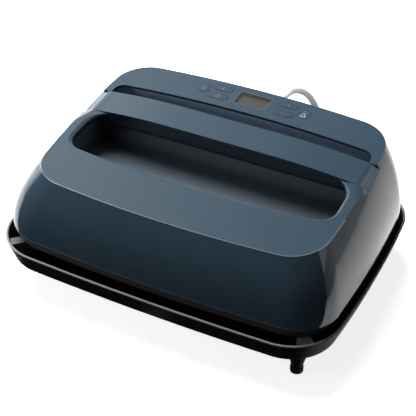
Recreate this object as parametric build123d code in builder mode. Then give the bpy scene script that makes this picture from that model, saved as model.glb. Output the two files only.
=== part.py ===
from build123d import *
import math
import os

# Handheld heat press standing in its safety tray, in millimetres.
# X runs to the right, Y to the rear and Z up. The origin is on the table, under the middle of the tray.

# Shared clearances and cuts
overrun = 5.0
seat_gap = 0.1
moving_gap = 0.3
bore_gap = 0.05

# Overall size of the housing, which the other pieces follow
shell_half_width = 174.3
shell_half_depth = 122.1

# Safety tray: a flared dish on four tapered legs
tray_margin_x = 5.7
tray_margin_y = 12.4
tray_half_width = shell_half_width + tray_margin_x
tray_half_depth = shell_half_depth + tray_margin_y
tray_front_radius = 3000.0
tray_side_radius = 1100.0
tray_corner_radius = 52.0
tray_draw_in = 7.0
tray_depth = 23.0
tray_wall = 2.5
tray_floor = 2.5
rim_round = 1.0
tray_foot_round = 4.0
leg_height = 24.0
leg_inset_x = 35.0
right_leg_inset_y = 28.5
left_leg_inset_y = 44.5
leg_top_half_x = 10.0
leg_top_half_y = 8.5
leg_tip_radius = 5.0
tip_wall = 1.2
tip_height = 5.0
tip_sole = 2.0

# Corner rests in the tray
rest_corner_inset = 18.8
rest_length = 44.0
rest_width = 10.0
rest_turn = 45.0
plate_air = 2.5

# Housing: a loaf that narrows upwards to a sloping top
shell_gap = 8.0
shell_height = 66.0
side_draw = 22.8
front_draw = 26.1
rear_draw = 3.0
deck_slope_share = 0.1
shell_wall = 2.8
base_front_radius = 2000.0
base_side_radius = 1100.0
base_corner_radius = 44.0
deck_front_radius = 1200.0
deck_side_radius = 900.0
deck_corner_radius = 38.0
loaf_shares = (0.3, 0.6, 0.9)
loaf_top_share = 1.16
skirt_share = -0.1

# Handle bar across the top, between the finger slot and the groove
control_inset = 21.1
groove_setback = 21.0
groove_width = 23.0
handle_width = 34.0
control_row = shell_half_depth - control_inset
groove_rear = control_row - groove_setback
handle_rear = groove_rear - groove_width
handle_front = handle_rear - handle_width
handle_proud = 5.5
handle_depth = 20.0
handle_roll_share = 0.8
grip_wall = 2.4
grip_height = 5.5
grip_round = 4.5

# Finger slot and groove, measured along the sloping top
slot_front_inset = 76.1
slot_end_inset = 31.3
slot_bow_share = 0.13
slot_corner_share = 0.32
groove_end_inset = 1.0
groove_bow = 8.0
groove_corner_radius = 12.0
slot_front = slot_front_inset - shell_half_depth
slot_bow = slot_bow_share * (handle_front - slot_front)
slot_corner_radius = slot_corner_share * (handle_front - slot_front)
slot_half_length = shell_half_width - slot_end_inset
groove_half_length = slot_half_length - groove_end_inset

crease_inset = 6.0
crease_x = slot_half_length - crease_inset
crown_run = 82.0
crown_drop = 5.0
end_bow = 3.9
roll_overrun = 2.6
blend_reach = 44.0
blend_shift = 16.0
grip_reach = 7.6
grip_half_length = slot_half_length + grip_reach

# Finger well under the slot and the handle
well_lift = 28.0
well_wall = 1.8
well_scoop_radius = 32.0
well_rear_radius = 9.0
well_notch_gap = 0.6

# Skirt ring
ring_height = 13.0
ring_inset = 2.2
ring_taper = 4.0
ring_wall = 3.0
ring_lip = 3.0
ring_spigot = 5.0
ring_post_radius = 3.6
ring_post_side_inset = 58.0
ring_post_front_inset = 108.0
spigot_gap = 0.6

# Heat plate and what lies on it
plate_inset_x = 16.3
plate_inset_y = 14.1
plate_half_width = shell_half_width - plate_inset_x
plate_half_depth = shell_half_depth - plate_inset_y
plate_corner_radius = 30.0
plate_thickness = 8.0
plate_edge_round = 2.0
plate_drop = 4.0
plate_gap = 1.5
element_radius = 3.5
element_inset = 28.0
element_rear_inset = 42.0
element_tail_inset = 20.0
element_half_width = plate_half_width - element_inset
element_front = element_inset - plate_half_depth
element_rear = plate_half_depth - element_rear_inset
element_tail = plate_half_depth - element_tail_inset
element_tail_half_gap = 18.0
element_bend_radius = 16.0
clamp_thickness = 1.8
clamp_half_span = 10.0
clamp_front_share = 0.46
clamp_rear_share = 0.58
clamp_side_y = (element_front + element_rear) / 2
clamp_front_x = clamp_front_share * element_half_width
clamp_rear_x = clamp_rear_share * element_half_width
strap_width = 8.0
terminal_length = 14.0
terminal_radius = 3.2
sensor_radius = 3.0
sensor_length = 16.0
clip_thickness = 1.0
clip_half_span = 9.0
fuse_radius = 3.2
fuse_length = 18.0
fuse_place_x = 36.0

# Insulation and heat shield
mat_inset = 8.0
mat_half_width = plate_half_width - mat_inset
mat_half_depth = plate_half_depth - mat_inset
mat_corner_radius = 24.0
mat_thickness = 7.0
mat_gap = 0.3
mat_window_half_width = 52.0
mat_window_half_depth = 22.0
shield_wall = 0.8
shield_side_gap = 1.0
shield_skirt = 9.0

# Chassis, a mid-frame inside the housing
chassis_lift = 12.0
chassis_thickness = 3.0
chassis_side_gap = 0.8
standoff_radius = 5.0
standoff_inset_x = 18.0
standoff_inset_y = 20.0
standoff_half_x = element_half_width - standoff_inset_x
standoff_half_y = element_rear - standoff_inset_y
hole_gap = 0.8
screw_radius = 1.6
screw_head_radius = 3.0
screw_head_height = 2.2
screw_length = 10.0
boss_radius = 4.5
boss_front_inset = 38.1
boss_rear_inset = 24.1
boss_side_inset = 66.3
boss_front = boss_front_inset - shell_half_depth
boss_rear = shell_half_depth - boss_rear_inset
boss_half_x = shell_half_width - boss_side_inset
grip_post_radius = 3.4
grip_post_reach = 5.4
grip_post_x = slot_half_length + grip_post_reach
well_post_radius = 4.0
well_post_end_inset = 53.0
well_post_front_inset = 54.0
well_post_rear_inset = 20.0
well_post_half_x = slot_half_length - well_post_end_inset
well_post_front = slot_front + well_post_front_inset
well_post_rear = groove_rear - well_post_rear_inset
lead_hole_radius = 3.0

# Power board in the front bay
board_end_inset = 51.0
board_half_width = slot_half_length - board_end_inset
board_half_depth = 20.0
board_thickness = 1.6
board_front_inset = 44.1
board_place_y = board_front_inset - shell_half_depth
board_lift = 7.0
board_post_radius = 3.5
board_post_inset = 5.0
relay_width = 19.0
relay_depth = 15.5
relay_height = 15.0
relay_place_share = 0.33
relay_place_x = relay_place_share * board_half_width
sink_width = 36.0
sink_depth = 14.0
sink_height = 17.0
sink_fins = 6
sink_fin_share = 0.5
sink_web = 4.0
sink_place_share = -0.35
sink_place_x = sink_place_share * board_half_width
capacitor_radius = 5.0
capacitor_height = 16.0
capacitor_place_shares = (-0.76, -0.61, 0.67)
buzzer_radius = 6.0
buzzer_height = 6.0
buzzer_place_share = 0.85
buzzer_place_x = buzzer_place_share * board_half_width
buzzer_hole_radius = 1.0

# Terminal block in the rear bay
block_width = 30.0
block_depth = 14.0
block_height = 15.0
block_place_x = -28.0
block_rear_inset = 30.1
block_place_y = shell_half_depth - block_rear_inset

# Controls in the rear deck, measured along the sloping top
round_button_x = 56.5
pill_x = 36.7
pill_half_pitch = 7.2
round_button_radius = 6.7
pill_length = 21.5
pill_width = 9.0
button_proud = 0.3
button_gap = 0.3
button_flange = 1.0
button_flange_reach = 1.0
button_stem_radius = 2.0
button_edge_round = 0.4
stem_below_carrier = 1.2
carrier_drop = 5.4
carrier_thickness = 1.6
carrier_half_width = 74.0
carrier_front_reach = 18.0
carrier_rear_reach = 9.0
carrier_front = control_row - carrier_front_reach
carrier_rear = control_row + carrier_rear_reach
carrier_post_inset = 5.0
carrier_post_radius = 3.2
switch_size = 6.0
switch_height = 3.5
switch_slack = 1.0
panel_board_side_inset = 2.0
panel_board_half_width = carrier_half_width - panel_board_side_inset
panel_board_inset = 1.0
panel_board_front = carrier_front + panel_board_inset
panel_board_rear = carrier_rear - panel_board_inset
window_width = 36.0
window_height = 21.0
window_corner_radius = 2.0
window_sink = 0.3
window_gap = 0.2
gasket_thickness = 1.0
gasket_overlap = 3.0
module_width = 40.0
module_height = 25.0

# Wires inside
wire_radius = 1.3
wire_bend_radius = 3.6
wire_half_pitch = 1.6
wire_step = 2.0
block_wire_pitch = 7.0
lead_bend_radius = 3.0
lead_out = 4.0
ribbon_half_width = 9.0
ribbon_thickness = 1.0
ribbon_setback = 11.0
ribbon_rear = control_row - ribbon_setback
ribbon_place_x = 50.0
ribbon_front_reach = 17.0
ribbon_front = board_place_y + ribbon_front_reach
ribbon_lift = 4.5
ribbon_bend_radius = 1.2

# Mains cord
cord_radius = 3.5
gland_inner_depth = 12.1
gland_inner_end = shell_half_depth - gland_inner_depth
gland_root_radius = 6.6
gland_tip_radius = 4.6
gland_collar_radius = 8.0
gland_collar = 2.0
gland_neck_radius = 6.0
gland_lean_gap = 0.5
inner_cord_depth = 22.1
inner_cord_end = shell_half_depth - inner_cord_depth
clamp_block_half = 6.0
clamp_block_height = 10.0
clamp_block_depth = 5.0
clamp_block_offset = 3.0
tie_thickness = 1.2
exit_drop = 22.6
lead_rest_height = 4.8
cord_route_shares = (
    (1.6, 2.7, 1.0),
    (1.6, 5.52, 1.0),
    (2.53, 8.46, 0.965),
    (4.12, 10.11, 0.824),
    (5.89, 9.59, 0.621),
    (8.14, 9.27, 0.404),
    (9.29, 9.63, 0.191),
    (10.14, 11.41, 0.05),
    (10.43, 13.34, 0.0),
    (10.43, 15.2, 0.0),
)
route_arc_share = 0.45
coil_radius = 48.0
coil_pitch = 7.6
coil_inward_half_turns = 6
coil_outward_half_turns = 4
coil_tail = 32.0
coil_seam = 0.3
coil_steps = 40
tie_width = 11.0
tie_gap = 0.8
tie_turn = 70.0
plug_neck_radius = 5.0
plug_neck_length = 14.0
plug_half_width = 11.0
plug_length = 36.0
plug_round = 3.0
pin_width = 6.3
pin_thickness = 1.6
pin_length = 16.0
pin_root = 4.0
pin_half_gap = 6.35

# Heights that follow from the sizes above
rim_height = leg_height + tray_depth
tray_top = leg_height + tray_floor
shell_base = rim_height + shell_gap
ring_base = shell_base - ring_height
plate_base = ring_base - plate_drop
plate_top = plate_base + plate_thickness
deck_height = shell_base + shell_height
exit_height = deck_height + deck_slope_share * shell_half_depth - exit_drop
stretch = math.hypot(1, deck_slope_share)
deck_plane = Plane(origin=(0, 0, deck_height), x_dir=(1, 0, 0), z_dir=(0, -deck_slope_share, 1))
chassis_height = shell_base + chassis_lift
chassis_top = chassis_height + chassis_thickness
well_floor_height = shell_base + well_lift
cord_route = [
    (
        across * 2 * cord_radius,
        shell_half_depth + behind * 2 * cord_radius,
        lead_rest_height + (exit_height - lead_rest_height) * climb,
    )
    for across, behind, climb in cord_route_shares
]
exit_x, gland_outer_end = cord_route[0][:2]
exit_share = (exit_height - shell_base) / (shell_height + deck_slope_share * shell_half_depth)
wall_outside = shell_half_depth - rear_draw * exit_share**2 + gland_lean_gap
wall_inside = wall_outside - shell_wall - 2 * gland_lean_gap
element_height = plate_top + element_radius + bore_gap
mat_base = plate_top + 2 * (element_radius + bore_gap) + clamp_thickness + mat_gap
shield_base = mat_base + mat_thickness + seat_gap
switch_top = carrier_drop + carrier_thickness + stem_below_carrier + switch_slack
panel_board_drop = switch_top + switch_height
headroom = shell_height
sweep_width = shell_half_width + tray_half_width

parts = []


def keep(piece, name):
    """Label a finished piece and put it on the list of pieces to write."""
    piece.label = name
    parts.append(piece)


def bowed_face(plane, half_width, half_depth, front_radius, side_radius, corner_radius, centre_y=0):
    """Rounded rectangle whose sides bow out as large arcs, tangent to its corner arcs."""
    front_centre = front_radius - half_depth
    side_centre = half_width - side_radius
    front_reach = front_radius - corner_radius
    side_reach = side_radius - corner_radius
    apart = math.hypot(side_centre, front_centre)
    along = (front_reach**2 - side_reach**2 + apart**2) / (2 * apart)
    across = math.sqrt(front_reach**2 - along**2)
    corner_x = (along * side_centre + across * front_centre) / apart
    corner_y = front_centre + (across * side_centre - along * front_centre) / apart
    front_turn = math.degrees(math.atan2(corner_x, front_centre - corner_y))
    side_turn = math.degrees(math.atan2(-corner_y, corner_x - side_centre))
    corner_turn = 90 - front_turn - side_turn
    with BuildSketch(plane) as outline:
        with BuildLine():
            CenterArc((0, centre_y + front_centre), front_radius, -90 - front_turn, 2 * front_turn)
            CenterArc((corner_x, centre_y + corner_y), corner_radius, front_turn - 90, corner_turn)
            CenterArc((side_centre, centre_y), side_radius, -side_turn, 2 * side_turn)
            CenterArc((corner_x, centre_y - corner_y), corner_radius, side_turn, corner_turn)
            CenterArc((0, centre_y - front_centre), front_radius, 90 - front_turn, 2 * front_turn)
            CenterArc((-corner_x, centre_y - corner_y), corner_radius, 90 + front_turn, corner_turn)
            CenterArc((-side_centre, centre_y), side_radius, 180 - side_turn, 2 * side_turn)
            CenterArc((-corner_x, centre_y + corner_y), corner_radius, 180 + side_turn, corner_turn)
        make_face()
    return outline.sketch


def tray_section(height, inset):
    """Outline of the tray at a height, drawn in towards its underside, less an inset."""
    grow = tray_draw_in * (height - rim_height) / tray_depth - inset
    return bowed_face(
        Plane.XY.offset(height),
        tray_half_width + grow,
        tray_half_depth + grow,
        tray_front_radius,
        tray_side_radius,
        tray_corner_radius + grow,
    )


def loaf_section(share, inset):
    """Outline of the housing at a share of its rise, on a plane that tilts up with it."""
    draw = share**2
    front = front_draw * draw - shell_half_depth + inset
    rear = shell_half_depth - rear_draw * draw - inset
    slope = deck_slope_share * share
    tilt = math.hypot(1, slope)
    plane = Plane(origin=(0, 0, shell_base + shell_height * share), x_dir=(1, 0, 0), z_dir=(0, -slope, 1))
    return bowed_face(
        plane,
        shell_half_width - side_draw * draw - inset,
        (rear - front) / 2 * tilt,
        base_front_radius + (deck_front_radius - base_front_radius) * share,
        base_side_radius + (deck_side_radius - base_side_radius) * share,
        base_corner_radius + (deck_corner_radius - base_corner_radius) * share - inset,
        (rear + front) / 2 * tilt,
    )


def side_wall(share, place_y):
    """Half-width and height of the housing's side wall at a share of its rise."""
    draw = share**2
    radius = base_side_radius + (deck_side_radius - base_side_radius) * share
    middle = (front_draw - rear_draw) * draw / 2
    bow = radius - math.sqrt(radius**2 - (place_y - middle) ** 2)
    climb = shell_height + deck_slope_share * place_y
    return shell_half_width - side_draw * draw - bow, shell_base + climb * share


handle_middle = (handle_front + handle_rear) / 2
handle_half = (handle_rear - handle_front) / 2
handle_origin = deck_plane.from_local_coords((0, handle_middle, 0))
handle_plane = Plane(origin=handle_origin, x_dir=(1, 0, 0), z_dir=(0, -1, -deck_slope_share))
roll_x, roll_height = side_wall(handle_roll_share, handle_origin.Y)
roll_end = (roll_height - handle_origin.Z) / stretch


def end_face(offset, inset, shift, side):
    """All that lies outside the handle's crowned top and bowed end on one side, shifted outwards."""
    edge_x = crease_x + shift - inset
    edge_height = handle_proud - crown_drop - inset
    top_x = edge_x - crown_run
    top_height = handle_proud - inset
    foot_x = roll_x + roll_overrun + shift - inset
    foot_height = roll_end - inset
    run = foot_x - edge_x
    drop = edge_height - foot_height
    chord = math.hypot(run, drop)
    bulge_x = (edge_x + foot_x) / 2 + end_bow * drop / chord
    bulge_height = (edge_height + foot_height) / 2 + end_bow * run / chord
    with BuildSketch(handle_plane.offset(offset)) as outside:
        with BuildLine():
            TangentArc((side * top_x, top_height), (side * edge_x, edge_height), tangent=(side, 0))
            ThreePointArc(
                (side * edge_x, edge_height),
                (side * bulge_x, bulge_height),
                (side * foot_x, foot_height),
            )
            Polyline(
                (side * foot_x, foot_height),
                (side * sweep_width, foot_height),
                (side * sweep_width, headroom),
                (side * top_x, headroom),
                (side * top_x, top_height),
            )
        make_face()
    return outside.sketch


def loaf_body(low_share, inset):
    """Housing as a solid: the loaf cut by its sloping top, with the handle bar left standing."""
    sections = [loaf_section(share, inset) for share in (low_share, *loaf_shares, loaf_top_share)]
    with BuildPart() as body:
        loft(sections)
        with BuildSketch(deck_plane.offset(-inset)):
            with Locations((0, handle_front + inset)):
                Rectangle(sweep_width * 2, shell_half_depth * 2, align=(Align.CENTER, Align.MAX))
            with Locations((0, handle_rear - inset)):
                Rectangle(sweep_width * 2, shell_half_depth * 2, align=(Align.CENTER, Align.MIN))
        extrude(amount=headroom, mode=Mode.SUBTRACT)
        with BuildSketch(deck_plane.offset(handle_proud - inset)):
            Rectangle(sweep_width * 2, sweep_width * 2)
        extrude(amount=headroom, mode=Mode.SUBTRACT)
        for side in (-1, 1):
            rear_end = end_face(-handle_half - inset, inset, 0, side)
            front_end = end_face(handle_half, inset, 0, side)
            blend_end = end_face(handle_half + blend_reach, inset, blend_shift, side)
            loft([rear_end, front_end], mode=Mode.SUBTRACT)
            loft([front_end, blend_end], mode=Mode.SUBTRACT)
    return body.part


def ring_face(height, inset):
    """Outline of the skirt ring at a height, less an inset."""
    flare = ring_taper * (height - shell_base) / ring_height - ring_inset - inset
    return bowed_face(
        Plane.XY.offset(height),
        shell_half_width + flare,
        shell_half_depth + flare,
        base_front_radius,
        base_side_radius,
        base_corner_radius + flare,
    )


def inside_face(height, inset):
    """Horizontal outline inside the housing's wall near its lower edge, less an inset."""
    draw = ((height - shell_base) / (shell_height - deck_slope_share * shell_half_depth)) ** 2
    shrink = shell_wall + inset
    return bowed_face(
        Plane.XY.offset(height),
        shell_half_width - side_draw * draw - shrink,
        shell_half_depth - front_draw * draw - shrink,
        base_front_radius,
        base_side_radius,
        base_corner_radius - shrink,
    )


def four(half_x, half_y):
    """The four corners of a rectangle about the origin."""
    return [(side * half_x, end * half_y) for side in (-1, 1) for end in (-1, 1)]


def screws(plane, points, head_side):
    """Group of pan-head screws seated on a plane, heads on its upper (1) or lower (-1) side."""
    with BuildPart() as group:
        with BuildSketch(plane):
            with Locations(*points):
                Circle(screw_head_radius)
        extrude(amount=head_side * screw_head_height)
        with BuildSketch(plane):
            with Locations(*points):
                Circle(screw_radius)
        extrude(amount=-head_side * screw_length)
    return group.part


def wire(points, bend):
    """Round wire along straight runs with one bend radius."""
    with BuildPart() as strand:
        with BuildLine() as path:
            FilletPolyline(*points, radius=bend)
        with BuildSketch(path.line ^ 0):
            Circle(wire_radius)
        sweep()
    return strand.part


def saddle(place, across, radius, half_span, thickness):
    """Bent strap that holds a round rod down on the plate, with a foot on either side."""
    inner = radius + bore_gap
    axis_up = inner - seat_gap
    along = Vector(*across).cross(Vector(0, 0, 1))
    plane = Plane(origin=(*place, plate_top + seat_gap), x_dir=across, z_dir=along)
    with BuildPart() as strap:
        with BuildSketch(plane):
            Rectangle(2 * half_span, thickness, align=(Align.CENTER, Align.MIN))
            Rectangle(2 * (inner + thickness), axis_up, align=(Align.CENTER, Align.MIN))
            with Locations((0, axis_up)):
                Circle(inner + thickness)
                Circle(inner, mode=Mode.SUBTRACT)
            Rectangle(2 * inner, axis_up, align=(Align.CENTER, Align.MIN), mode=Mode.SUBTRACT)
            Rectangle(2 * half_span, 2 * half_span, align=(Align.CENTER, Align.MAX), mode=Mode.SUBTRACT)
        extrude(amount=strap_width / 2, both=True)
    return strap.part


def control_shape(round_shape, grow):
    """Outline of a round or pill-shaped button, grown on all sides."""
    if round_shape:
        Circle(round_button_radius + grow)
    else:
        SlotOverall(pill_length + 2 * grow, pill_width + 2 * grow)


# Places that several pieces share
leg_points = [
    (side * (tray_half_width - leg_inset_x), end * (tray_half_depth - inset))
    for side, inset in ((-1, left_leg_inset_y), (1, right_leg_inset_y))
    for end in (-1, 1)
]
rest_points = four(tray_half_width - rest_corner_inset, tray_half_depth - rest_corner_inset)
standoff_points = four(standoff_half_x, standoff_half_y) + [(0, -standoff_half_y), (0, standoff_half_y)]
post_x = plate_half_width + ring_post_radius + plate_gap / 2
post_y = plate_half_depth + ring_post_radius + plate_gap / 2
ring_post_points = four(post_x, plate_half_depth - ring_post_side_inset)
ring_post_points += four(plate_half_width - ring_post_front_inset, post_y)
boss_points = [(side * boss_half_x, place) for side in (-1, 1) for place in (boss_front, boss_rear)]
well_post_points = [
    (side * well_post_half_x, place) for side in (-1, 1) for place in (well_post_front, well_post_rear)
]
board_corners = four(board_half_width - board_post_inset, board_half_depth - board_post_inset)
board_points = [(x, y + board_place_y) for x, y in board_corners]
screw_hole_radius = screw_radius + hole_gap / 2
handle_foot = handle_proud - handle_depth
grip_points = [(side * grip_post_x, handle_middle) for side in (-1, 1)]
grip_post_spots = [deck_plane.from_local_coords((x, v, handle_foot)) for x, v in grip_points]
controls = {
    "power_button": (-round_button_x, control_row, True),
    "temperature_button": (-pill_x, control_row + pill_half_pitch, False),
    "timer_button": (-pill_x, control_row - pill_half_pitch, False),
    "plus_button": (pill_x, control_row + pill_half_pitch, False),
    "minus_button": (pill_x, control_row - pill_half_pitch, False),
    "start_button": (round_button_x, control_row, True),
}
carrier_middle = (carrier_front + carrier_rear) / 2
carrier_half_depth = (carrier_rear - carrier_front) / 2
carrier_corners = four(carrier_half_width - carrier_post_inset, carrier_half_depth - carrier_post_inset)
carrier_points = [(x, v + carrier_middle) for x, v in carrier_corners]
section_plane = Plane(origin=(0, 0, deck_height), x_dir=(0, 1, deck_slope_share), z_dir=(1, 0, 0))

# Safety tray with its legs
with BuildPart() as base_tray:
    loft([tray_section(leg_height, 0), tray_section(rim_height, 0)])
    fillet(base_tray.faces().sort_by(Axis.Z)[0].edges(), tray_foot_round)
    loft([tray_section(tray_top, tray_wall), tray_section(rim_height, tray_wall)], mode=Mode.SUBTRACT)
    fillet(base_tray.faces().sort_by(Axis.Z)[-1].edges(), rim_round)
    for point in leg_points:
        with BuildSketch(Plane.XY.offset(leg_height + tray_floor / 2)):
            with Locations(point):
                Ellipse(leg_top_half_x, leg_top_half_y)
        with BuildSketch(Plane.XY.offset(tip_height)):
            with Locations(point):
                Circle(leg_tip_radius)
        loft()
    with BuildSketch(Plane.XY.offset(tip_sole)):
        with Locations(*leg_points):
            Circle(leg_tip_radius)
    extrude(amount=tip_height - tip_sole)
keep(base_tray.part, "base_tray")

with BuildPart() as foot_tips:
    with BuildSketch():
        with Locations(*leg_points):
            Circle(leg_tip_radius + tip_wall)
    extrude(amount=tip_height - seat_gap)
    with BuildSketch(Plane.XY.offset(tip_sole)):
        with Locations(*leg_points):
            Circle(leg_tip_radius + bore_gap)
    extrude(amount=tip_height, mode=Mode.SUBTRACT)
keep(foot_tips.part, "foot_tips")

# Corner rests: ribs across the tray's corners that carry the ring, cut back around the hot plate
with BuildPart() as corner_rests:
    loft([tray_section(tray_top, tray_wall + seat_gap), tray_section(rim_height, tray_wall + seat_gap)])
    with BuildSketch(Plane.XY.offset(tray_top)):
        for place_x, place_y in rest_points:
            with Locations((place_x, place_y)):
                Rectangle(rest_length, rest_width, rotation=math.copysign(rest_turn, place_x * place_y))
    extrude(amount=ring_base - seat_gap - tray_top, mode=Mode.INTERSECT)
    with BuildSketch(Plane.XY.offset(plate_base - plate_air)):
        RectangleRounded(
            2 * (plate_half_width + plate_air),
            2 * (plate_half_depth + plate_air),
            plate_corner_radius + plate_air,
        )
    extrude(amount=tray_depth, mode=Mode.SUBTRACT)
keep(corner_rests.part, "corner_rests")

# Skirt ring under the housing, with posts that carry the chassis
with BuildPart() as lower_ring:
    loft([ring_face(ring_base, 0), ring_face(shell_base, 0)])
    lip_top = ring_base + ring_lip
    loft([ring_face(lip_top, ring_wall), ring_face(shell_base, ring_wall)], mode=Mode.SUBTRACT)
    with BuildSketch(Plane.XY.offset(ring_base)):
        RectangleRounded(
            2 * (plate_half_width + plate_gap),
            2 * (plate_half_depth + plate_gap),
            plate_corner_radius + plate_gap,
        )
    extrude(amount=ring_lip, mode=Mode.SUBTRACT)
    spigot = inside_face(shell_base, spigot_gap) - inside_face(shell_base, spigot_gap + ring_wall)
    extrude(spigot, amount=ring_spigot)
    with BuildSketch(Plane.XY.offset(lip_top)):
        with Locations(*ring_post_points):
            Circle(ring_post_radius)
    extrude(amount=chassis_height - seat_gap - lip_top)
    with BuildSketch(Plane.XY.offset(chassis_height)):
        with Locations(*ring_post_points):
            Circle(screw_radius + bore_gap)
    extrude(amount=-screw_length, mode=Mode.SUBTRACT)
keep(lower_ring.part, "lower_ring")

# Housing: one moulding with the decks, the handle's upper skin, the slot, the groove and the control holes
outer_loaf = loaf_body(0, 0)
inner_loaf = loaf_body(skirt_share, shell_wall)
skirt_depth = grip_height + handle_foot + shell_wall + seat_gap
exit_plane = Plane(origin=(exit_x, gland_inner_end, exit_height), x_dir=(1, 0, 0), z_dir=(0, 1, 0))
with BuildPart() as outer_shell:
    add(outer_loaf)
    add(inner_loaf, mode=Mode.SUBTRACT)
    with BuildSketch(deck_plane.offset(overrun)) as slot:
        with BuildLine():
            front_edge = ThreePointArc(
                (-slot_half_length, slot_front + slot_bow),
                (0, slot_front),
                (slot_half_length, slot_front + slot_bow),
            )
            Polyline(
                front_edge @ 1,
                (slot_half_length, handle_front),
                (-slot_half_length, handle_front),
                front_edge @ 0,
            )
        make_face()
        fillet(slot.vertices(), slot_corner_radius)
    extrude(amount=-overrun - 2 * shell_wall, mode=Mode.SUBTRACT)
    with BuildSketch(deck_plane.offset(overrun)) as groove:
        with BuildLine():
            rear_edge = ThreePointArc(
                (-groove_half_length, groove_rear - groove_bow),
                (0, groove_rear),
                (groove_half_length, groove_rear - groove_bow),
            )
            Polyline(
                rear_edge @ 1,
                (groove_half_length, handle_rear),
                (-groove_half_length, handle_rear),
                rear_edge @ 0,
            )
        make_face()
        fillet(groove.vertices().group_by(Axis.Y)[-1], groove_corner_radius)
    extrude(amount=-overrun - 2 * shell_wall, mode=Mode.SUBTRACT)
    with BuildSketch(deck_plane.offset(-shell_wall)):
        with Locations((0, handle_front)):
            Rectangle(2 * slot_half_length, shell_wall, align=(Align.CENTER, Align.MIN))
        with Locations((0, handle_rear)):
            Rectangle(2 * slot_half_length, shell_wall, align=(Align.CENTER, Align.MAX))
    extrude(amount=skirt_depth)
    with BuildSketch(deck_plane.offset(overrun)):
        for place_x, place_v, round_shape in controls.values():
            with Locations((place_x, place_v)):
                control_shape(round_shape, button_gap)
        with Locations((0, control_row)):
            RectangleRounded(
                window_width + 2 * window_gap,
                window_height + 2 * window_gap,
                window_corner_radius,
            )
    extrude(amount=-overrun - 2 * shell_wall, mode=Mode.SUBTRACT)
    with BuildSketch(exit_plane):
        Circle(gland_neck_radius + seat_gap)
    extrude(amount=gland_outer_end - gland_inner_end, mode=Mode.SUBTRACT)
    for place_x, place_y in boss_points:
        boss_top = deck_height + deck_slope_share * place_y - shell_wall / 2
        with BuildSketch(Plane.XY.offset(chassis_top + seat_gap)):
            with Locations((place_x, place_y)):
                Circle(boss_radius)
        extrude(amount=boss_top - chassis_top - seat_gap)
    with BuildSketch(Plane.XY.offset(chassis_top)):
        with Locations(*boss_points):
            Circle(screw_radius + bore_gap)
    extrude(amount=screw_length, mode=Mode.SUBTRACT)
keep(outer_shell.part, "outer_shell")

# Handle grip: the channel that closes the handle from below
with BuildPart() as handle_grip:
    with BuildSketch(section_plane) as grip_section:
        with Locations((handle_middle, handle_foot)):
            Rectangle(2 * handle_half, grip_height, align=(Align.CENTER, Align.MIN))
        fillet(grip_section.vertices().group_by(Axis.Y)[0], grip_round)
        with Locations((handle_middle, handle_foot + grip_wall)):
            Rectangle(
                2 * (handle_half - grip_wall),
                grip_height,
                align=(Align.CENTER, Align.MIN),
                mode=Mode.SUBTRACT,
            )
    extrude(amount=grip_half_length, both=True)
    with BuildSketch(deck_plane.offset(handle_foot)):
        with Locations(*grip_points):
            Circle(screw_hole_radius)
    extrude(amount=grip_wall, mode=Mode.SUBTRACT)
keep(handle_grip.part, "handle_grip")
keep(screws(deck_plane.offset(handle_foot + grip_wall), grip_points, 1), "handle_screws")

# Finger well: a trough under the slot, the handle and the groove
with BuildPart() as finger_well:
    for grow, side in ((well_wall, Mode.ADD), (0, Mode.SUBTRACT)):
        with BuildSketch(Plane.YZ) as trough:
            with Locations(((slot_front + groove_rear) / 2, well_floor_height - grow)):
                Rectangle(groove_rear - slot_front + 2 * grow, headroom, align=(Align.CENTER, Align.MIN))
            front_corner = trough.vertices().group_by(Axis.Y)[0].sort_by(Axis.X)[0]
            fillet(front_corner, well_scoop_radius - well_wall + grow)
            rear_corner = trough.vertices().group_by(Axis.Y)[0].sort_by(Axis.X)[-1]
            fillet(rear_corner, well_rear_radius + grow)
        extrude(amount=slot_half_length + grow, both=True, mode=side)
    with BuildSketch(deck_plane.offset(-shell_wall - seat_gap)):
        Rectangle(2 * sweep_width, 2 * sweep_width)
    extrude(amount=headroom, mode=Mode.SUBTRACT)
    with BuildSketch(deck_plane.offset(handle_foot - well_notch_gap)):
        with Locations((0, handle_middle)):
            Rectangle(2 * sweep_width, 2 * (handle_half + well_notch_gap))
    extrude(amount=headroom, mode=Mode.SUBTRACT)
    add(loaf_body(skirt_share, shell_wall + 2 * seat_gap), mode=Mode.INTERSECT)
keep(finger_well.part, "finger_well")

# Hot side: plate, tubular element, its clamps, the sensor and the fuse
with BuildPart() as heat_plate:
    with BuildSketch(Plane.XY.offset(plate_base)):
        RectangleRounded(2 * plate_half_width, 2 * plate_half_depth, plate_corner_radius)
    extrude(amount=plate_thickness)
    fillet(heat_plate.faces().sort_by(Axis.Z)[0].edges(), plate_edge_round)
keep(heat_plate.part, "heat_plate")

with BuildPart() as heating_element:
    with BuildLine() as element_path:
        FilletPolyline(
            (-element_tail_half_gap, element_tail, element_height),
            (-element_tail_half_gap, element_rear, element_height),
            (-element_half_width, element_rear, element_height),
            (-element_half_width, element_front, element_height),
            (element_half_width, element_front, element_height),
            (element_half_width, element_rear, element_height),
            (element_tail_half_gap, element_rear, element_height),
            (element_tail_half_gap, element_tail, element_height),
            radius=element_bend_radius,
        )
    with BuildSketch(element_path.line ^ 0):
        Circle(element_radius)
    sweep()
keep(heating_element.part, "heating_element")

terminal_plane = Plane(origin=(0, element_tail + seat_gap, element_height), x_dir=(1, 0, 0), z_dir=(0, 1, 0))
with BuildPart() as element_terminals:
    with BuildSketch(terminal_plane):
        with Locations((-element_tail_half_gap, 0), (element_tail_half_gap, 0)):
            Circle(terminal_radius)
    extrude(amount=terminal_length)
keep(element_terminals.part, "element_terminals")

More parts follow.
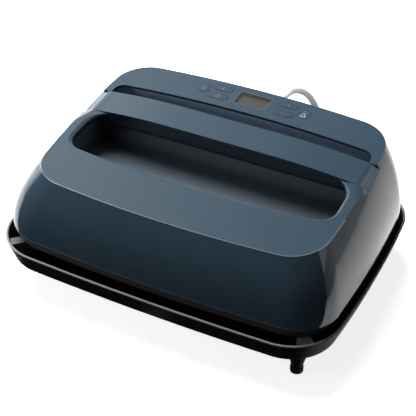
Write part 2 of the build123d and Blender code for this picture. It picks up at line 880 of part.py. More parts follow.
with BuildPart() as element_clamps:
    for side in (-1, 1):
        for place, across in (
            ((side * element_half_width, clamp_side_y), (1, 0, 0)),
            ((side * clamp_front_x, element_front), (0, 1, 0)),
            ((side * clamp_rear_x, element_rear), (0, 1, 0)),
        ):
            add(saddle(place, across, element_radius, clamp_half_span, clamp_thickness))
keep(element_clamps.part, "element_clamps")

with BuildPart() as temperature_sensor:
    with BuildSketch(Plane.YZ):
        with Locations((0, plate_top + sensor_radius + bore_gap)):
            Circle(sensor_radius)
    extrude(amount=sensor_length / 2, both=True)
keep(temperature_sensor.part, "temperature_sensor")
keep(saddle((0, 0), (0, 1, 0), sensor_radius, clip_half_span, clip_thickness), "sensor_clip")

with BuildPart() as thermal_fuse:
    with BuildSketch(Plane.YZ.offset(fuse_place_x)):
        with Locations((0, plate_top + fuse_radius + bore_gap)):
            Circle(fuse_radius)
    extrude(amount=fuse_length / 2, both=True)
keep(thermal_fuse.part, "thermal_fuse")
keep(saddle((fuse_place_x, 0), (0, 1, 0), fuse_radius, clip_half_span, clip_thickness), "fuse_bracket")

# Insulation over the element and the shield over both
with BuildPart() as insulation_mat:
    with BuildSketch(Plane.XY.offset(mat_base)):
        RectangleRounded(2 * mat_half_width, 2 * mat_half_depth, mat_corner_radius)
        Rectangle(2 * mat_window_half_width, 2 * mat_window_half_depth, mode=Mode.SUBTRACT)
        with Locations(*standoff_points):
            Circle(standoff_radius + hole_gap, mode=Mode.SUBTRACT)
    extrude(amount=mat_thickness)
keep(insulation_mat.part, "insulation_mat")

with BuildPart() as heat_shield:
    with BuildSketch(Plane.XY.offset(shield_base + shield_wall)):
        shield_reach = shield_side_gap + shield_wall
        RectangleRounded(
            2 * (mat_half_width + shield_reach),
            2 * (mat_half_depth + shield_reach),
            mat_corner_radius + shield_reach,
        )
    extrude(amount=-shield_skirt)
    with BuildSketch(Plane.XY.offset(shield_base)):
        RectangleRounded(
            2 * (mat_half_width + shield_side_gap),
            2 * (mat_half_depth + shield_side_gap),
            mat_corner_radius + shield_side_gap,
        )
    extrude(amount=-shield_skirt, mode=Mode.SUBTRACT)
    with BuildSketch(Plane.XY.offset(shield_base)):
        with Locations(*standoff_points):
            Circle(standoff_radius + hole_gap)
    extrude(amount=shield_wall, mode=Mode.SUBTRACT)
keep(heat_shield.part, "heat_shield")

with BuildPart() as plate_standoffs:
    with BuildSketch(Plane.XY.offset(plate_top + seat_gap)):
        with Locations(*standoff_points):
            Circle(standoff_radius)
    extrude(amount=chassis_height - plate_top - 2 * seat_gap)
    with BuildSketch(Plane.XY.offset(chassis_height)):
        with Locations(*standoff_points):
            Circle(screw_radius + bore_gap)
    extrude(amount=-screw_length, mode=Mode.SUBTRACT)
keep(plate_standoffs.part, "plate_standoffs")
keep(screws(Plane.XY.offset(chassis_top), standoff_points, 1), "plate_screws")

# Chassis with posts for the handle, the well and the power board
lead_y = element_tail + terminal_length + lead_out
lead_points = [(-element_tail_half_gap, lead_y), (element_tail_half_gap, lead_y)]
with BuildPart() as chassis:
    extrude(inside_face(chassis_top, chassis_side_gap), amount=-chassis_thickness)
    with BuildSketch(Plane.XY.offset(chassis_top)):
        with Locations(*[(spot.X, spot.Y) for spot in grip_post_spots]):
            Circle(grip_post_radius)
    extrude(amount=headroom)
    with BuildSketch(deck_plane.offset(handle_foot - seat_gap)):
        Rectangle(2 * sweep_width, 2 * sweep_width)
    extrude(amount=headroom, mode=Mode.SUBTRACT)
    with BuildSketch(deck_plane.offset(handle_foot)):
        with Locations(*grip_points):
            Circle(screw_radius + bore_gap)
    extrude(amount=-screw_length, mode=Mode.SUBTRACT)
    with BuildSketch(Plane.XY.offset(chassis_top)):
        with Locations(*well_post_points):
            Circle(well_post_radius)
    extrude(amount=well_floor_height - well_wall - seat_gap - chassis_top)
    with BuildSketch(Plane.XY.offset(chassis_top)):
        with Locations(*board_points):
            Circle(board_post_radius)
    extrude(amount=board_lift - seat_gap)
    with BuildSketch(Plane.XY.offset(chassis_top + board_lift)):
        with Locations(*board_points):
            Circle(screw_radius + bore_gap)
    extrude(amount=-screw_length, mode=Mode.SUBTRACT)
    with BuildSketch(Plane.XY.offset(chassis_top)):
        with Locations(*ring_post_points, *standoff_points, *boss_points):
            Circle(screw_hole_radius)
        with Locations(*lead_points):
            Circle(lead_hole_radius)
    extrude(amount=-chassis_thickness, mode=Mode.SUBTRACT)
keep(chassis.part, "chassis")
keep(screws(Plane.XY.offset(chassis_top), ring_post_points, 1), "chassis_screws")
keep(screws(Plane.XY.offset(chassis_height), boss_points, -1), "shell_screws")

# Power board and its parts in the front bay
board_base = chassis_top + board_lift
board_top = board_base + board_thickness
with BuildPart() as power_board:
    with BuildSketch(Plane.XY.offset(board_base)):
        with Locations((0, board_place_y)):
            Rectangle(2 * board_half_width, 2 * board_half_depth)
        with Locations(*board_points):
            Circle(screw_hole_radius, mode=Mode.SUBTRACT)
    extrude(amount=board_thickness)
keep(power_board.part, "power_board")
keep(screws(Plane.XY.offset(board_top), board_points, 1), "board_screws")

with BuildPart() as relay:
    with BuildSketch(Plane.XY.offset(board_top + seat_gap)):
        with Locations((relay_place_x, board_place_y)):
            Rectangle(relay_width, relay_depth)
    extrude(amount=relay_height)
keep(relay.part, "relay")

with BuildPart() as heat_sink:
    with BuildSketch(Plane.XY.offset(board_top + seat_gap)):
        with Locations((sink_place_x, board_place_y)):
            Rectangle(sink_width, sink_depth)
    extrude(amount=sink_height)
    fin_pitch = sink_width / (sink_fins - 1 + sink_fin_share)
    with BuildSketch(Plane.XY.offset(board_top + sink_web)):
        for gap in range(sink_fins - 1):
            gap_x = fin_pitch * (gap + sink_fin_share) - sink_width / 2
            with Locations((sink_place_x + gap_x, board_place_y)):
                Rectangle(fin_pitch * (1 - sink_fin_share), sink_depth, align=(Align.MIN, Align.CENTER))
    extrude(amount=sink_height, mode=Mode.SUBTRACT)
keep(heat_sink.part, "heat_sink")

with BuildPart() as capacitors:
    with BuildSketch(Plane.XY.offset(board_top + seat_gap)):
        with Locations(*[(share * board_half_width, board_place_y) for share in capacitor_place_shares]):
            Circle(capacitor_radius)
    extrude(amount=capacitor_height)
keep(capacitors.part, "capacitors")

with BuildPart() as buzzer:
    with BuildSketch(Plane.XY.offset(board_top + seat_gap)):
        with Locations((buzzer_place_x, board_place_y)):
            Circle(buzzer_radius)
    extrude(amount=buzzer_height)
    with BuildSketch(Plane.XY.offset(board_top + buzzer_height)):
        with Locations((buzzer_place_x, board_place_y)):
            Circle(buzzer_hole_radius)
    extrude(amount=-buzzer_height / 2, both=True, mode=Mode.SUBTRACT)
keep(buzzer.part, "buzzer")

# Controls under the rear deck
with BuildPart() as button_carrier:
    with BuildSketch(deck_plane.offset(-carrier_drop)):
        with Locations((0, carrier_middle)):
            Rectangle(2 * carrier_half_width, carrier_rear - carrier_front)
    extrude(amount=-carrier_thickness)
    with BuildSketch(deck_plane.offset(-shell_wall - seat_gap)):
        with Locations(*carrier_points):
            Circle(carrier_post_radius)
    extrude(amount=shell_wall + 2 * seat_gap - panel_board_drop)
    with BuildSketch(deck_plane.offset(-panel_board_drop)):
        with Locations(*carrier_points):
            Circle(screw_radius + bore_gap)
    extrude(amount=screw_length - board_thickness, mode=Mode.SUBTRACT)
    with BuildSketch(deck_plane.offset(-carrier_drop)):
        for place_x, place_v, round_shape in controls.values():
            with Locations((place_x, place_v)):
                Circle(button_stem_radius + bore_gap)
        with Locations((0, control_row)):
            Rectangle(module_width + 2 * hole_gap, module_height + 2 * hole_gap)
    extrude(amount=-carrier_thickness, mode=Mode.SUBTRACT)
keep(button_carrier.part, "button_carrier")

flange_drop = shell_wall + moving_gap
for name, (place_x, place_v, round_shape) in controls.items():
    with BuildPart() as button:
        with BuildSketch(deck_plane.offset(button_proud)):
            with Locations((place_x, place_v)):
                control_shape(round_shape, 0)
        extrude(amount=-button_proud - flange_drop)
        fillet(button.faces().sort_by(Axis.Z)[-1].edges(), button_edge_round)
        with BuildSketch(deck_plane.offset(-flange_drop)):
            with Locations((place_x, place_v)):
                control_shape(round_shape, button_gap + button_flange_reach)
        extrude(amount=-button_flange)
        with BuildSketch(deck_plane.offset(-flange_drop)):
            with Locations((place_x, place_v)):
                Circle(button_stem_radius)
        extrude(amount=flange_drop + switch_slack - switch_top)
    keep(button.part, name)

with BuildPart() as display_window:
    with BuildSketch(deck_plane.offset(-window_sink)):
        with Locations((0, control_row)):
            RectangleRounded(window_width, window_height, window_corner_radius)
    extrude(amount=window_sink - shell_wall)
keep(display_window.part, "display_window")

with BuildPart() as window_gasket:
    with BuildSketch(deck_plane.offset(-shell_wall - seat_gap)):
        with Locations((0, control_row)):
            Rectangle(window_width + 2 * gasket_overlap, window_height + 2 * gasket_overlap)
            Rectangle(window_width - gasket_overlap, window_height - gasket_overlap, mode=Mode.SUBTRACT)
    extrude(amount=-gasket_thickness)
keep(window_gasket.part, "window_gasket")

module_drop = shell_wall + gasket_thickness + 2 * seat_gap
with BuildPart() as display_module:
    with BuildSketch(deck_plane.offset(-module_drop)):
        with Locations((0, control_row)):
            Rectangle(module_width, module_height)
    extrude(amount=module_drop + seat_gap - panel_board_drop)
keep(display_module.part, "display_module")

with BuildPart() as tact_switches:
    with BuildSketch(deck_plane.offset(-switch_top)):
        for place_x, place_v, round_shape in controls.values():
            with Locations((place_x, place_v)):
                Rectangle(switch_size, switch_size)
    extrude(amount=seat_gap - switch_height)
keep(tact_switches.part, "tact_switches")

panel_board_under = panel_board_drop + board_thickness
with BuildPart() as control_board:
    with BuildSketch(deck_plane.offset(-panel_board_drop)):
        with Locations((0, (panel_board_front + panel_board_rear) / 2)):
            Rectangle(2 * panel_board_half_width, panel_board_rear - panel_board_front)
        with Locations(*carrier_points):
            Circle(screw_hole_radius, mode=Mode.SUBTRACT)
    extrude(amount=-board_thickness)
keep(control_board.part, "control_board")
keep(screws(deck_plane.offset(-panel_board_under), carrier_points, -1), "panel_screws")

# Wiring inside
block_top = chassis_top + block_height
with BuildPart() as terminal_block:
    with BuildSketch(Plane.XY.offset(chassis_top + seat_gap)):
        with Locations((block_place_x, block_place_y)):
            Rectangle(block_width, block_depth)
    extrude(amount=block_height - seat_gap)
keep(terminal_block.part, "terminal_block")

wire_start = inner_cord_end - seat_gap
with BuildPart() as mains_wires:
    for side, turn_y in ((-1, block_place_y + wire_step), (1, block_place_y - wire_step)):
        start_x = exit_x + side * wire_half_pitch
        end_x = block_place_x + side * block_wire_pitch / 2
        strand = wire(
            [
                (start_x, wire_start, exit_height),
                (start_x, turn_y, exit_height),
                (end_x, turn_y, (exit_height + block_top) / 2),
                (end_x, turn_y, block_top + seat_gap),
            ],
            wire_bend_radius,
        )
        add(strand)
keep(mains_wires.part, "mains_wires")

lead_height = chassis_top + block_height / 2
lead_start = element_tail + terminal_length + 2 * seat_gap
block_rear = block_place_y + block_depth / 2 + seat_gap
block_side = block_place_x + block_width / 2 + seat_gap
with BuildPart() as element_leads:
    left_lead = [
        (-element_tail_half_gap, lead_start, element_height),
        (-element_tail_half_gap, lead_y, element_height),
        (-element_tail_half_gap, lead_y, lead_height),
        (-element_tail_half_gap, block_rear, lead_height),
    ]
    right_lead = [
        (element_tail_half_gap, lead_start, element_height),
        (element_tail_half_gap, lead_y, element_height),
        (element_tail_half_gap, lead_y, lead_height),
        (element_tail_half_gap, block_place_y, lead_height),
        (block_side, block_place_y, lead_height),
    ]
    add(wire(left_lead, lead_bend_radius))
    add(wire(right_lead, lead_bend_radius))
keep(element_leads.part, "element_leads")

ribbon_height = chassis_top + ribbon_lift
ribbon_top = deck_height + deck_slope_share * ribbon_rear - panel_board_under * stretch - ribbon_thickness
with BuildPart() as ribbon_cable:
    with BuildLine() as ribbon_path:
        FilletPolyline(
            (ribbon_place_x, ribbon_rear, ribbon_top),
            (ribbon_place_x, ribbon_rear, ribbon_height),
            (ribbon_place_x, ribbon_front, ribbon_height),
            (ribbon_place_x, ribbon_front, board_base - seat_gap),
            radius=ribbon_bend_radius,
        )
    with BuildSketch(Plane(origin=ribbon_path.line @ 0, x_dir=(1, 0, 0), z_dir=(0, 0, -1))):
        Rectangle(2 * ribbon_half_width, ribbon_thickness)
    sweep()
keep(ribbon_cable.part, "ribbon_cable")

# Gland, cord end and clamp at the rear wall
with BuildPart() as strain_relief:
    with BuildSketch(Plane(origin=(exit_x, 0, exit_height), x_dir=(0, 1, 0), z_dir=(1, 0, 0))):
        with BuildLine():
            Polyline(
                (gland_inner_end, cord_radius + bore_gap),
                (gland_inner_end, gland_tip_radius),
                (wall_inside - gland_collar, gland_tip_radius),
                (wall_inside - gland_collar, gland_collar_radius),
                (wall_inside, gland_collar_radius),
                (wall_inside, gland_neck_radius),
                (wall_outside, gland_neck_radius),
                (wall_outside, gland_collar_radius),
                (wall_outside + gland_collar, gland_collar_radius),
                (wall_outside + gland_collar, gland_root_radius),
                (gland_outer_end, gland_tip_radius),
                (gland_outer_end, cord_radius + bore_gap),
                close=True,
            )
        make_face()
    revolve(axis=Axis((exit_x, 0, exit_height), (0, 1, 0)))
keep(strain_relief.part, "strain_relief")

cord_plane = Plane(origin=(exit_x, inner_cord_end, exit_height), x_dir=(1, 0, 0), z_dir=(0, 1, 0))
with BuildPart() as inner_cord:
    with BuildSketch(cord_plane):
        Circle(cord_radius)
    extrude(amount=gland_outer_end - inner_cord_end - seat_gap)
keep(inner_cord.part, "inner_cord")

with BuildPart() as cord_clamp:
    with BuildSketch(cord_plane.offset(clamp_block_offset)):
        Rectangle(2 * clamp_block_half, clamp_block_height)
    extrude(amount=clamp_block_depth)
    with BuildSketch(Plane.XY.offset(chassis_top + seat_gap)):
        with Locations((exit_x, inner_cord_end + clamp_block_offset + clamp_block_depth / 2)):
            Rectangle(clamp_block_half, clamp_block_depth)
    extrude(amount=exit_height - clamp_block_height / 2 - chassis_top)
    with BuildSketch(cord_plane):
        Circle(cord_radius + bore_gap)
    extrude(amount=gland_inner_end - inner_cord_end, mode=Mode.SUBTRACT)
keep(cord_clamp.part, "cord_clamp")

# Mains cord outside: the lead that hangs from the gland, then the wound length
lead_bends = []
for before, here, after in zip(cord_route, cord_route[1:], cord_route[2:]):
    run_in = Vector(*here) - Vector(*before)
    run_out = Vector(*after) - Vector(*here)
    half_turn = math.radians(run_in.get_angle(run_out)) / 2
    lead_bends.append(route_arc_share * min(run_in.length, run_out.length) / math.tan(half_turn))
print("cord lead bend radii:", [round(bend, 1) for bend in lead_bends])

with BuildPart() as cord_lead:
    with BuildLine() as lead_path:
        FilletPolyline(*cord_route, radius=lead_bends)
    with BuildSketch(lead_path.line ^ 0):
        Circle(cord_radius)
    sweep()
cord_section = math.pi * cord_radius**2
lead_length = sum(edge.length for edge in lead_path.edges())
print("cord lead volume over section times length:", cord_lead.part.volume / (cord_section * lead_length))
keep(cord_lead.part, "cord_lead")

lead_end_x, lead_end_y, coil_height = cord_route[-1]
coil_start = (lead_end_x, lead_end_y + coil_seam, coil_height)
coil_centre_x = lead_end_x - coil_radius
coil_centre_y = lead_end_y + coil_seam + 2 * cord_radius
coil_upper = coil_height + coil_pitch
coil_rings = [(coil_radius - turn * coil_pitch / 2, coil_height) for turn in range(coil_inward_half_turns)]
coil_rings.append((coil_radius - coil_inward_half_turns * coil_pitch / 2, coil_upper))
coil_rings += [
    (coil_radius - (coil_outward_half_turns - turn) * coil_pitch / 2, coil_upper)
    for turn in range(coil_outward_half_turns + 1)
]
stations = []
for place, (ring_radius, ring_height_here) in enumerate(coil_rings):
    side = 1 - 2 * (place % 2)
    stations.append(Vector(coil_centre_x + side * ring_radius, coil_centre_y, ring_height_here))

with BuildPart() as cord_coil:
    with BuildLine() as coil_path:
        Line(coil_start, stations[0])
        heading = Vector(0, 1, 0)
        for start, end in zip(stations, stations[1:]):
            middle = (start + end) * (1 / 2) + heading * ((end - start).length / 2)
            first = TangentArc(start, middle, tangent=heading)
            second = TangentArc(middle, end, tangent=first % 1)
            heading = second % 1
        Line(stations[-1], stations[-1] + heading * coil_tail)
    with BuildSketch(coil_path.line ^ 0):
        Circle(cord_radius)
    sweep()
coil_length = sum(edge.length for edge in coil_path.edges())
print("cord coil volume over section times length:", cord_coil.part.volume / (cord_section * coil_length))
print("cord length outside the housing:", lead_length + coil_length)
coil_points = [
    (number, tuple(edge @ (step / coil_steps)))
    for number, edge in enumerate(coil_path.edges())
    for step in range(coil_steps)
]
nearest = min(
    math.dist(here, there)
    for number, here in coil_points
    for other, there in coil_points
    if other - number > 1
)
print("least gap between turns of the coil:", nearest - 2 * cord_radius)
keep(cord_coil.part, "cord_coil")

tie_inside = coil_radius - coil_inward_half_turns * coil_pitch / 2 - cord_radius - tie_gap
tie_outside = coil_radius + cord_radius + tie_gap
tie_low = coil_height - cord_radius - seat_gap
tie_high = coil_upper + cord_radius + seat_gap
tie_cos = math.cos(math.radians(tie_turn))
tie_sin = math.sin(math.radians(tie_turn))
tie_plane = Plane(
    origin=(coil_centre_x, coil_centre_y, 0), x_dir=(tie_cos, tie_sin, 0), z_dir=(tie_sin, -tie_cos, 0)
)
with BuildPart() as cord_tie:
    with BuildSketch(tie_plane):
        with Locations(((tie_inside + tie_outside) / 2, (tie_low + tie_high) / 2)):
            Rectangle(tie_outside - tie_inside + 2 * tie_thickness, tie_high - tie_low + 2 * tie_thickness)
            Rectangle(tie_outside - tie_inside, tie_high - tie_low, mode=Mode.SUBTRACT)
    extrude(amount=tie_width / 2, both=True)
keep(cord_tie.part, "cord_tie")

plug_start = stations[-1] + Vector(0, -coil_tail - seat_gap, 0)
plug_plane = Plane(origin=plug_start, x_dir=(1, 0, 0), z_dir=(0, -1, 0))
with BuildPart() as mains_plug:
    with BuildSketch(plug_plane):
        Circle(plug_neck_radius)
    with BuildSketch(plug_plane.offset(plug_neck_length)):
        RectangleRounded(2 * plug_half_width, 2 * coil_upper, plug_round)
    loft()
    with BuildSketch(plug_plane.offset(plug_neck_length)):
        RectangleRounded(2 * plug_half_width, 2 * coil_upper, plug_round)
    extrude(amount=plug_length - plug_neck_length)
    with BuildSketch(plug_plane.offset(plug_length)):
        with Locations((-pin_half_gap, 0), (pin_half_gap, 0)):
            Rectangle(pin_thickness + 2 * bore_gap, pin_width + 2 * bore_gap)
    extrude(amount=-pin_root, mode=Mode.SUBTRACT)
keep(mains_plug.part, "mains_plug")

with BuildPart() as plug_pins:
    with BuildSketch(plug_plane.offset(plug_length - pin_root + seat_gap)):
        with Locations((-pin_half_gap, 0), (pin_half_gap, 0)):
            Rectangle(pin_thickness, pin_width)
    extrude(amount=pin_length + pin_root)
keep(plug_pins.part, "plug_pins")

os.makedirs("parts", exist_ok=True)
for piece in parts:
    export_step(piece, f"parts/{piece.label}.step")
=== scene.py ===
# %% [markdown]
# # A handheld heat press standing in its safety tray
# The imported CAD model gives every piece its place. This script keeps those solids, gives each of
# them a finish, and adds what a solid shows poorly: the soft mains cord, the ridges on its plug, the
# ribs of its gland, the soft edges of the slot and the deck, the window's bevel and the printed signs.
# Lengths are in metres.

import bpy
import numpy as np
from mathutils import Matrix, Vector


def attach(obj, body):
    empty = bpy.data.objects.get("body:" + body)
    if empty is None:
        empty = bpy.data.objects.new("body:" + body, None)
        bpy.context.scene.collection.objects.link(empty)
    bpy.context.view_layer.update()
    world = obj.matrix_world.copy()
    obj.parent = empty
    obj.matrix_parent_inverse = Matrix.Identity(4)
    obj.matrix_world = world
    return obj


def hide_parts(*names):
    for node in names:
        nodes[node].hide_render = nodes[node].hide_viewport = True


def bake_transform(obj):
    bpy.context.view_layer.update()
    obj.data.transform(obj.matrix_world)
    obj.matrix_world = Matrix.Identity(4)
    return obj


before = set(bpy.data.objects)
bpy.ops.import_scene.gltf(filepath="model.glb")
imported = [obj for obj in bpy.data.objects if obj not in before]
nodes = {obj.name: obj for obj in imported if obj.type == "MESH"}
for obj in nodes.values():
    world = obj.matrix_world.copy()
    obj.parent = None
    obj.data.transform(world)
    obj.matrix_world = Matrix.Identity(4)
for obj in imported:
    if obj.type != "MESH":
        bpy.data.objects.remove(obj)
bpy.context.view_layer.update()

# %% [markdown]
# ## The camera
# The photograph looks down at the front right corner from a little over a metre away. Place and
# direction were found by fitting the tray's rim and the housing's top edge. A camera can be aimed by
# a constraint, but here it is turned by azimuth and elevation, with a long lens and no shift.

# %% Place the camera
AZIMUTH, ELEVATION = np.radians(27.22), np.radians(37.22)
CAMERA_PLACE = (0.38888, -0.75570, 0.70742)
SENSOR_MM, LENS_MM = 36.0, 93.2
back = Vector((
    np.sin(AZIMUTH) * np.cos(ELEVATION),
    -np.cos(AZIMUTH) * np.cos(ELEVATION),
    np.sin(ELEVATION),
))
camera_data = bpy.data.cameras.new("photo_camera")
camera_data.sensor_width = SENSOR_MM
camera_data.lens = LENS_MM
camera = bpy.data.objects.new("photo_camera", camera_data)
camera.location = CAMERA_PLACE
camera.rotation_mode = "QUATERNION"
camera.rotation_quaternion = (-back).to_track_quat("-Z", "Y")
bpy.context.scene.collection.objects.link(camera)
bpy.context.scene.camera = camera
bpy.context.scene.view_settings.view_transform = "Standard"
print("camera at", [round(value, 3) for value in camera.location])

# %% [markdown]
# ## Grids of points as meshes
# Every new piece here is a sheet of points on a grid with two parameters. One helper joins
# neighbouring points into quads, and another puts the arrays into a mesh object.


# %% Grid and mesh helpers
def grid_quads(rows, columns, closed=False):
    """Quads of a grid: point (i, j) joins (i, j+1), (i+1, j+1) and (i+1, j).

    A closed grid also joins the last column to the first.
    """
    last = columns if closed else columns - 1
    row, column = np.meshgrid(np.arange(rows - 1), np.arange(last), indexing="ij")
    following = (column + 1) % columns
    quads = np.stack([
        row * columns + column,
        row * columns + following,
        (row + 1) * columns + following,
        (row + 1) * columns + column,
    ], axis=-1)
    return quads.reshape(-1, 4)


def lay_mesh(name, points, faces, material):
    """Smooth object at the origin from an array of points and lists of faces."""
    mesh = bpy.data.meshes.new(name)
    mesh.from_pydata(np.asarray(points, float).reshape(-1, 3).tolist(), [], faces)
    mesh.polygons.foreach_set("use_smooth", np.full(len(mesh.polygons), True))
    mesh.materials.append(material)
    mesh.update()
    piece = bpy.data.objects.new(name, mesh)
    bpy.context.scene.collection.objects.link(piece)
    return piece


print("mesh helpers ready")

# %% [markdown]
# ## Finishes
# Moulded plastic is never one flat colour: it has a faint cloud from the tool, a fine grain that
# breaks up the shine, and a gloss that changes a little from place to place. Each finish mixes two
# near colours by a broad noise, and feeds a fine noise to roughness and bump. The noise reads the
# object's own coordinates, so it stays where it is when the piece moves.

# %% Finish helper
CLOUD_DETAIL, CLOUD_ENDS = 3.0, (0.3, 0.7)
GRAIN_DETAIL, GRAIN_BUMP, GRAIN_GLOSS = 4.0, 0.25, (0.85, 1.15)


def finish(name, dark, light, roughness, grain, depth, cloud=12.0, **sockets):
    """Noise cloud between two colours, and noise grain on roughness and bump.

    Grain and cloud are noise scales, depth is the bump's, and sockets are constants of the shader.
    """
    material = bpy.data.materials.new(name)
    material.use_nodes = True
    tree = material.node_tree
    shader = tree.nodes["Principled BSDF"]
    place = tree.nodes.new("ShaderNodeTexCoord").outputs["Object"]

    broad = tree.nodes.new("ShaderNodeTexNoise")
    broad.inputs["Scale"].default_value = cloud
    broad.inputs["Detail"].default_value = CLOUD_DETAIL
    tree.links.new(place, broad.inputs["Vector"])
    ramp = tree.nodes.new("ShaderNodeValToRGB")
    for stop, position, colour in zip(ramp.color_ramp.elements, CLOUD_ENDS, (dark, light)):
        stop.position = position
        stop.color = (*colour, 1.0)
    tree.links.new(broad.outputs["Fac"], ramp.inputs["Fac"])
    tree.links.new(ramp.outputs["Color"], shader.inputs["Base Color"])

    fine = tree.nodes.new("ShaderNodeTexNoise")
    fine.inputs["Scale"].default_value = grain
    fine.inputs["Detail"].default_value = GRAIN_DETAIL
    tree.links.new(place, fine.inputs["Vector"])
    spread = tree.nodes.new("ShaderNodeMapRange")
    spread.inputs["To Min"].default_value = roughness * GRAIN_GLOSS[0]
    spread.inputs["To Max"].default_value = min(1.0, roughness * GRAIN_GLOSS[1])
    tree.links.new(fine.outputs["Fac"], spread.inputs["Value"])
    tree.links.new(spread.outputs["Result"], shader.inputs["Roughness"])
    bump = tree.nodes.new("ShaderNodeBump")
    bump.inputs["Strength"].default_value = GRAIN_BUMP
    bump.inputs["Distance"].default_value = depth
    tree.links.new(fine.outputs["Fac"], bump.inputs["Height"])
    tree.links.new(bump.outputs["Normal"], shader.inputs["Normal"])

    for socket, value in sockets.items():
        shader.inputs[socket.replace("_", " ")].default_value = value
    return material


print("finish helper ready")

# %% [markdown]
# ## Painted light and shade on a finish
# Some solids are moulded in one colour but get painted light and shade: the tray's rim has a painted
# highlight, the handle's front face has painted shade, and the trough has painted shade under the
# handle and painted light in the groove behind it. Painting each face by hand would do it. Here a node
# measures where a point lies, or which way its face looks, and that share mixes in the second colour.


# %% Helpers for a second colour
def compute(tree, operation, first, second):
    """Output of a Math node on one output and a second one, or on one output and a plain number."""
    node = tree.nodes.new("ShaderNodeMath")
    node.operation = operation
    tree.links.new(first, node.inputs[0])
    if isinstance(second, float):
        node.inputs[1].default_value = second
    else:
        tree.links.new(second, node.inputs[1])
    return node.outputs["Value"]


def mix_in(material, share, colour):
    """Second colour over the finish, by a share that goes from none to all."""
    tree = material.node_tree
    base = tree.nodes["Principled BSDF"].inputs["Base Color"]
    mix = tree.nodes.new("ShaderNodeMixRGB")
    mix.inputs["Color2"].default_value = (*colour, 1.0)
    tree.links.new(share, mix.inputs["Fac"])
    tree.links.new(base.links[0].from_socket, mix.inputs["Color1"])
    tree.links.new(mix.outputs["Color"], base)


def fade_to(material, axis, start, end, colour):
    """Second colour that comes in along one axis of the object, from start to end."""
    tree = material.node_tree
    place = tree.nodes.new("ShaderNodeTexCoord")
    spot = tree.nodes.new("ShaderNodeSeparateXYZ")
    tree.links.new(place.outputs["Object"], spot.inputs["Vector"])
    share = tree.nodes.new("ShaderNodeMapRange")
    share.inputs["From Min"].default_value = start
    share.inputs["From Max"].default_value = end
    tree.links.new(spot.outputs[axis], share.inputs["Value"])
    mix_in(material, share.outputs["Result"], colour)


LOOKS_AHEAD = -0.9  # a face whose normal has a lower Y than this looks to the front


def paint_front_shade(material, start, end, colour):
    """Painted shade on the faces that look to the front and lie between start and end along Y."""
    tree = material.node_tree
    place = tree.nodes.new("ShaderNodeTexCoord")
    aim = tree.nodes.new("ShaderNodeSeparateXYZ")
    spot = tree.nodes.new("ShaderNodeSeparateXYZ")
    tree.links.new(place.outputs["Normal"], aim.inputs["Vector"])
    tree.links.new(place.outputs["Object"], spot.inputs["Vector"])
    ahead = compute(tree, "LESS_THAN", aim.outputs["Y"], LOOKS_AHEAD)
    after = compute(tree, "GREATER_THAN", spot.outputs["Y"], start)
    before = compute(tree, "LESS_THAN", spot.outputs["Y"], end)
    ahead_and_after = compute(tree, "MULTIPLY", ahead, after)
    mix_in(material, compute(tree, "MULTIPLY", ahead_and_after, before), colour)


print("colour helpers ready")

# %% [markdown]
# ## What the eye sees first
# The housing is navy plastic under a clear coat, so its finish is a dull base with a coat that
# mirrors the studio. The tray, the ring and the rests are plainer plastics with more grain, and the
# cord's soft jacket lets a little light through. One helper call per finish keeps them alike in build.

# %% Finishes of the housing and its buttons
NAVY = ((0.036, 0.066, 0.096), (0.044, 0.078, 0.110))
HANDLE_SHADE_SPAN = (0.0205, 0.0255)
lacquer = finish(
    "navy_lacquer", *NAVY,
    roughness=0.42, grain=900.0, depth=0.00002, cloud=5.0,
    Coat_Weight=1.0, Coat_Roughness=0.05, Specular_IOR_Level=0.0,
)
# painted shade on the handle's front face, which looks away from the lamps
paint_front_shade(lacquer, *HANDLE_SHADE_SPAN, (0.006, 0.014, 0.022))
edge_lacquer = finish(
    "edge_lacquer", *NAVY,
    roughness=0.42, grain=900.0, depth=0.00002, cloud=5.0,
    Coat_Weight=1.0, Coat_IOR=2.1, Coat_Roughness=0.15, Specular_IOR_Level=0.0,
)
button_navy = finish(
    "button_navy", (0.033, 0.060, 0.087), (0.040, 0.070, 0.099),
    roughness=0.45, grain=1100.0, depth=0.00002,
    Coat_Weight=1.0, Coat_Roughness=0.08, Specular_IOR_Level=0.0,
)
grip_navy = finish(
    "grip_navy", (0.010, 0.018, 0.026), (0.014, 0.023, 0.032),
    roughness=0.50, grain=900.0, depth=0.00003,
    Specular_IOR_Level=0.2,
)
TROUGH_PAINTED_SHADE, GROOVE_PAINTED_LIGHT = (0.014, 0.034), (0.062, 0.076)
well_grey = finish(
    "well_grey", (0.092, 0.120, 0.148), (0.112, 0.143, 0.174),
    roughness=0.45, grain=1200.0, depth=0.00004,
)
# painted shade in the trough under the handle, and painted light in the groove behind it
fade_to(well_grey, "Y", *TROUGH_PAINTED_SHADE, (0.014, 0.018, 0.023))
fade_to(well_grey, "Y", *GROOVE_PAINTED_LIGHT, (0.42, 0.54, 0.70))
print("finishes so far:", len(bpy.data.materials))

# %% Finishes of the tray, the ring and the cord
RIM_PAINTED_HIGHLIGHT = (0.0454, 0.0464)
tray_black = finish(
    "tray_black", (0.008, 0.008, 0.009), (0.012, 0.012, 0.013),
    roughness=0.55, grain=1400.0, depth=0.00006,
    Specular_IOR_Level=0.1,
)
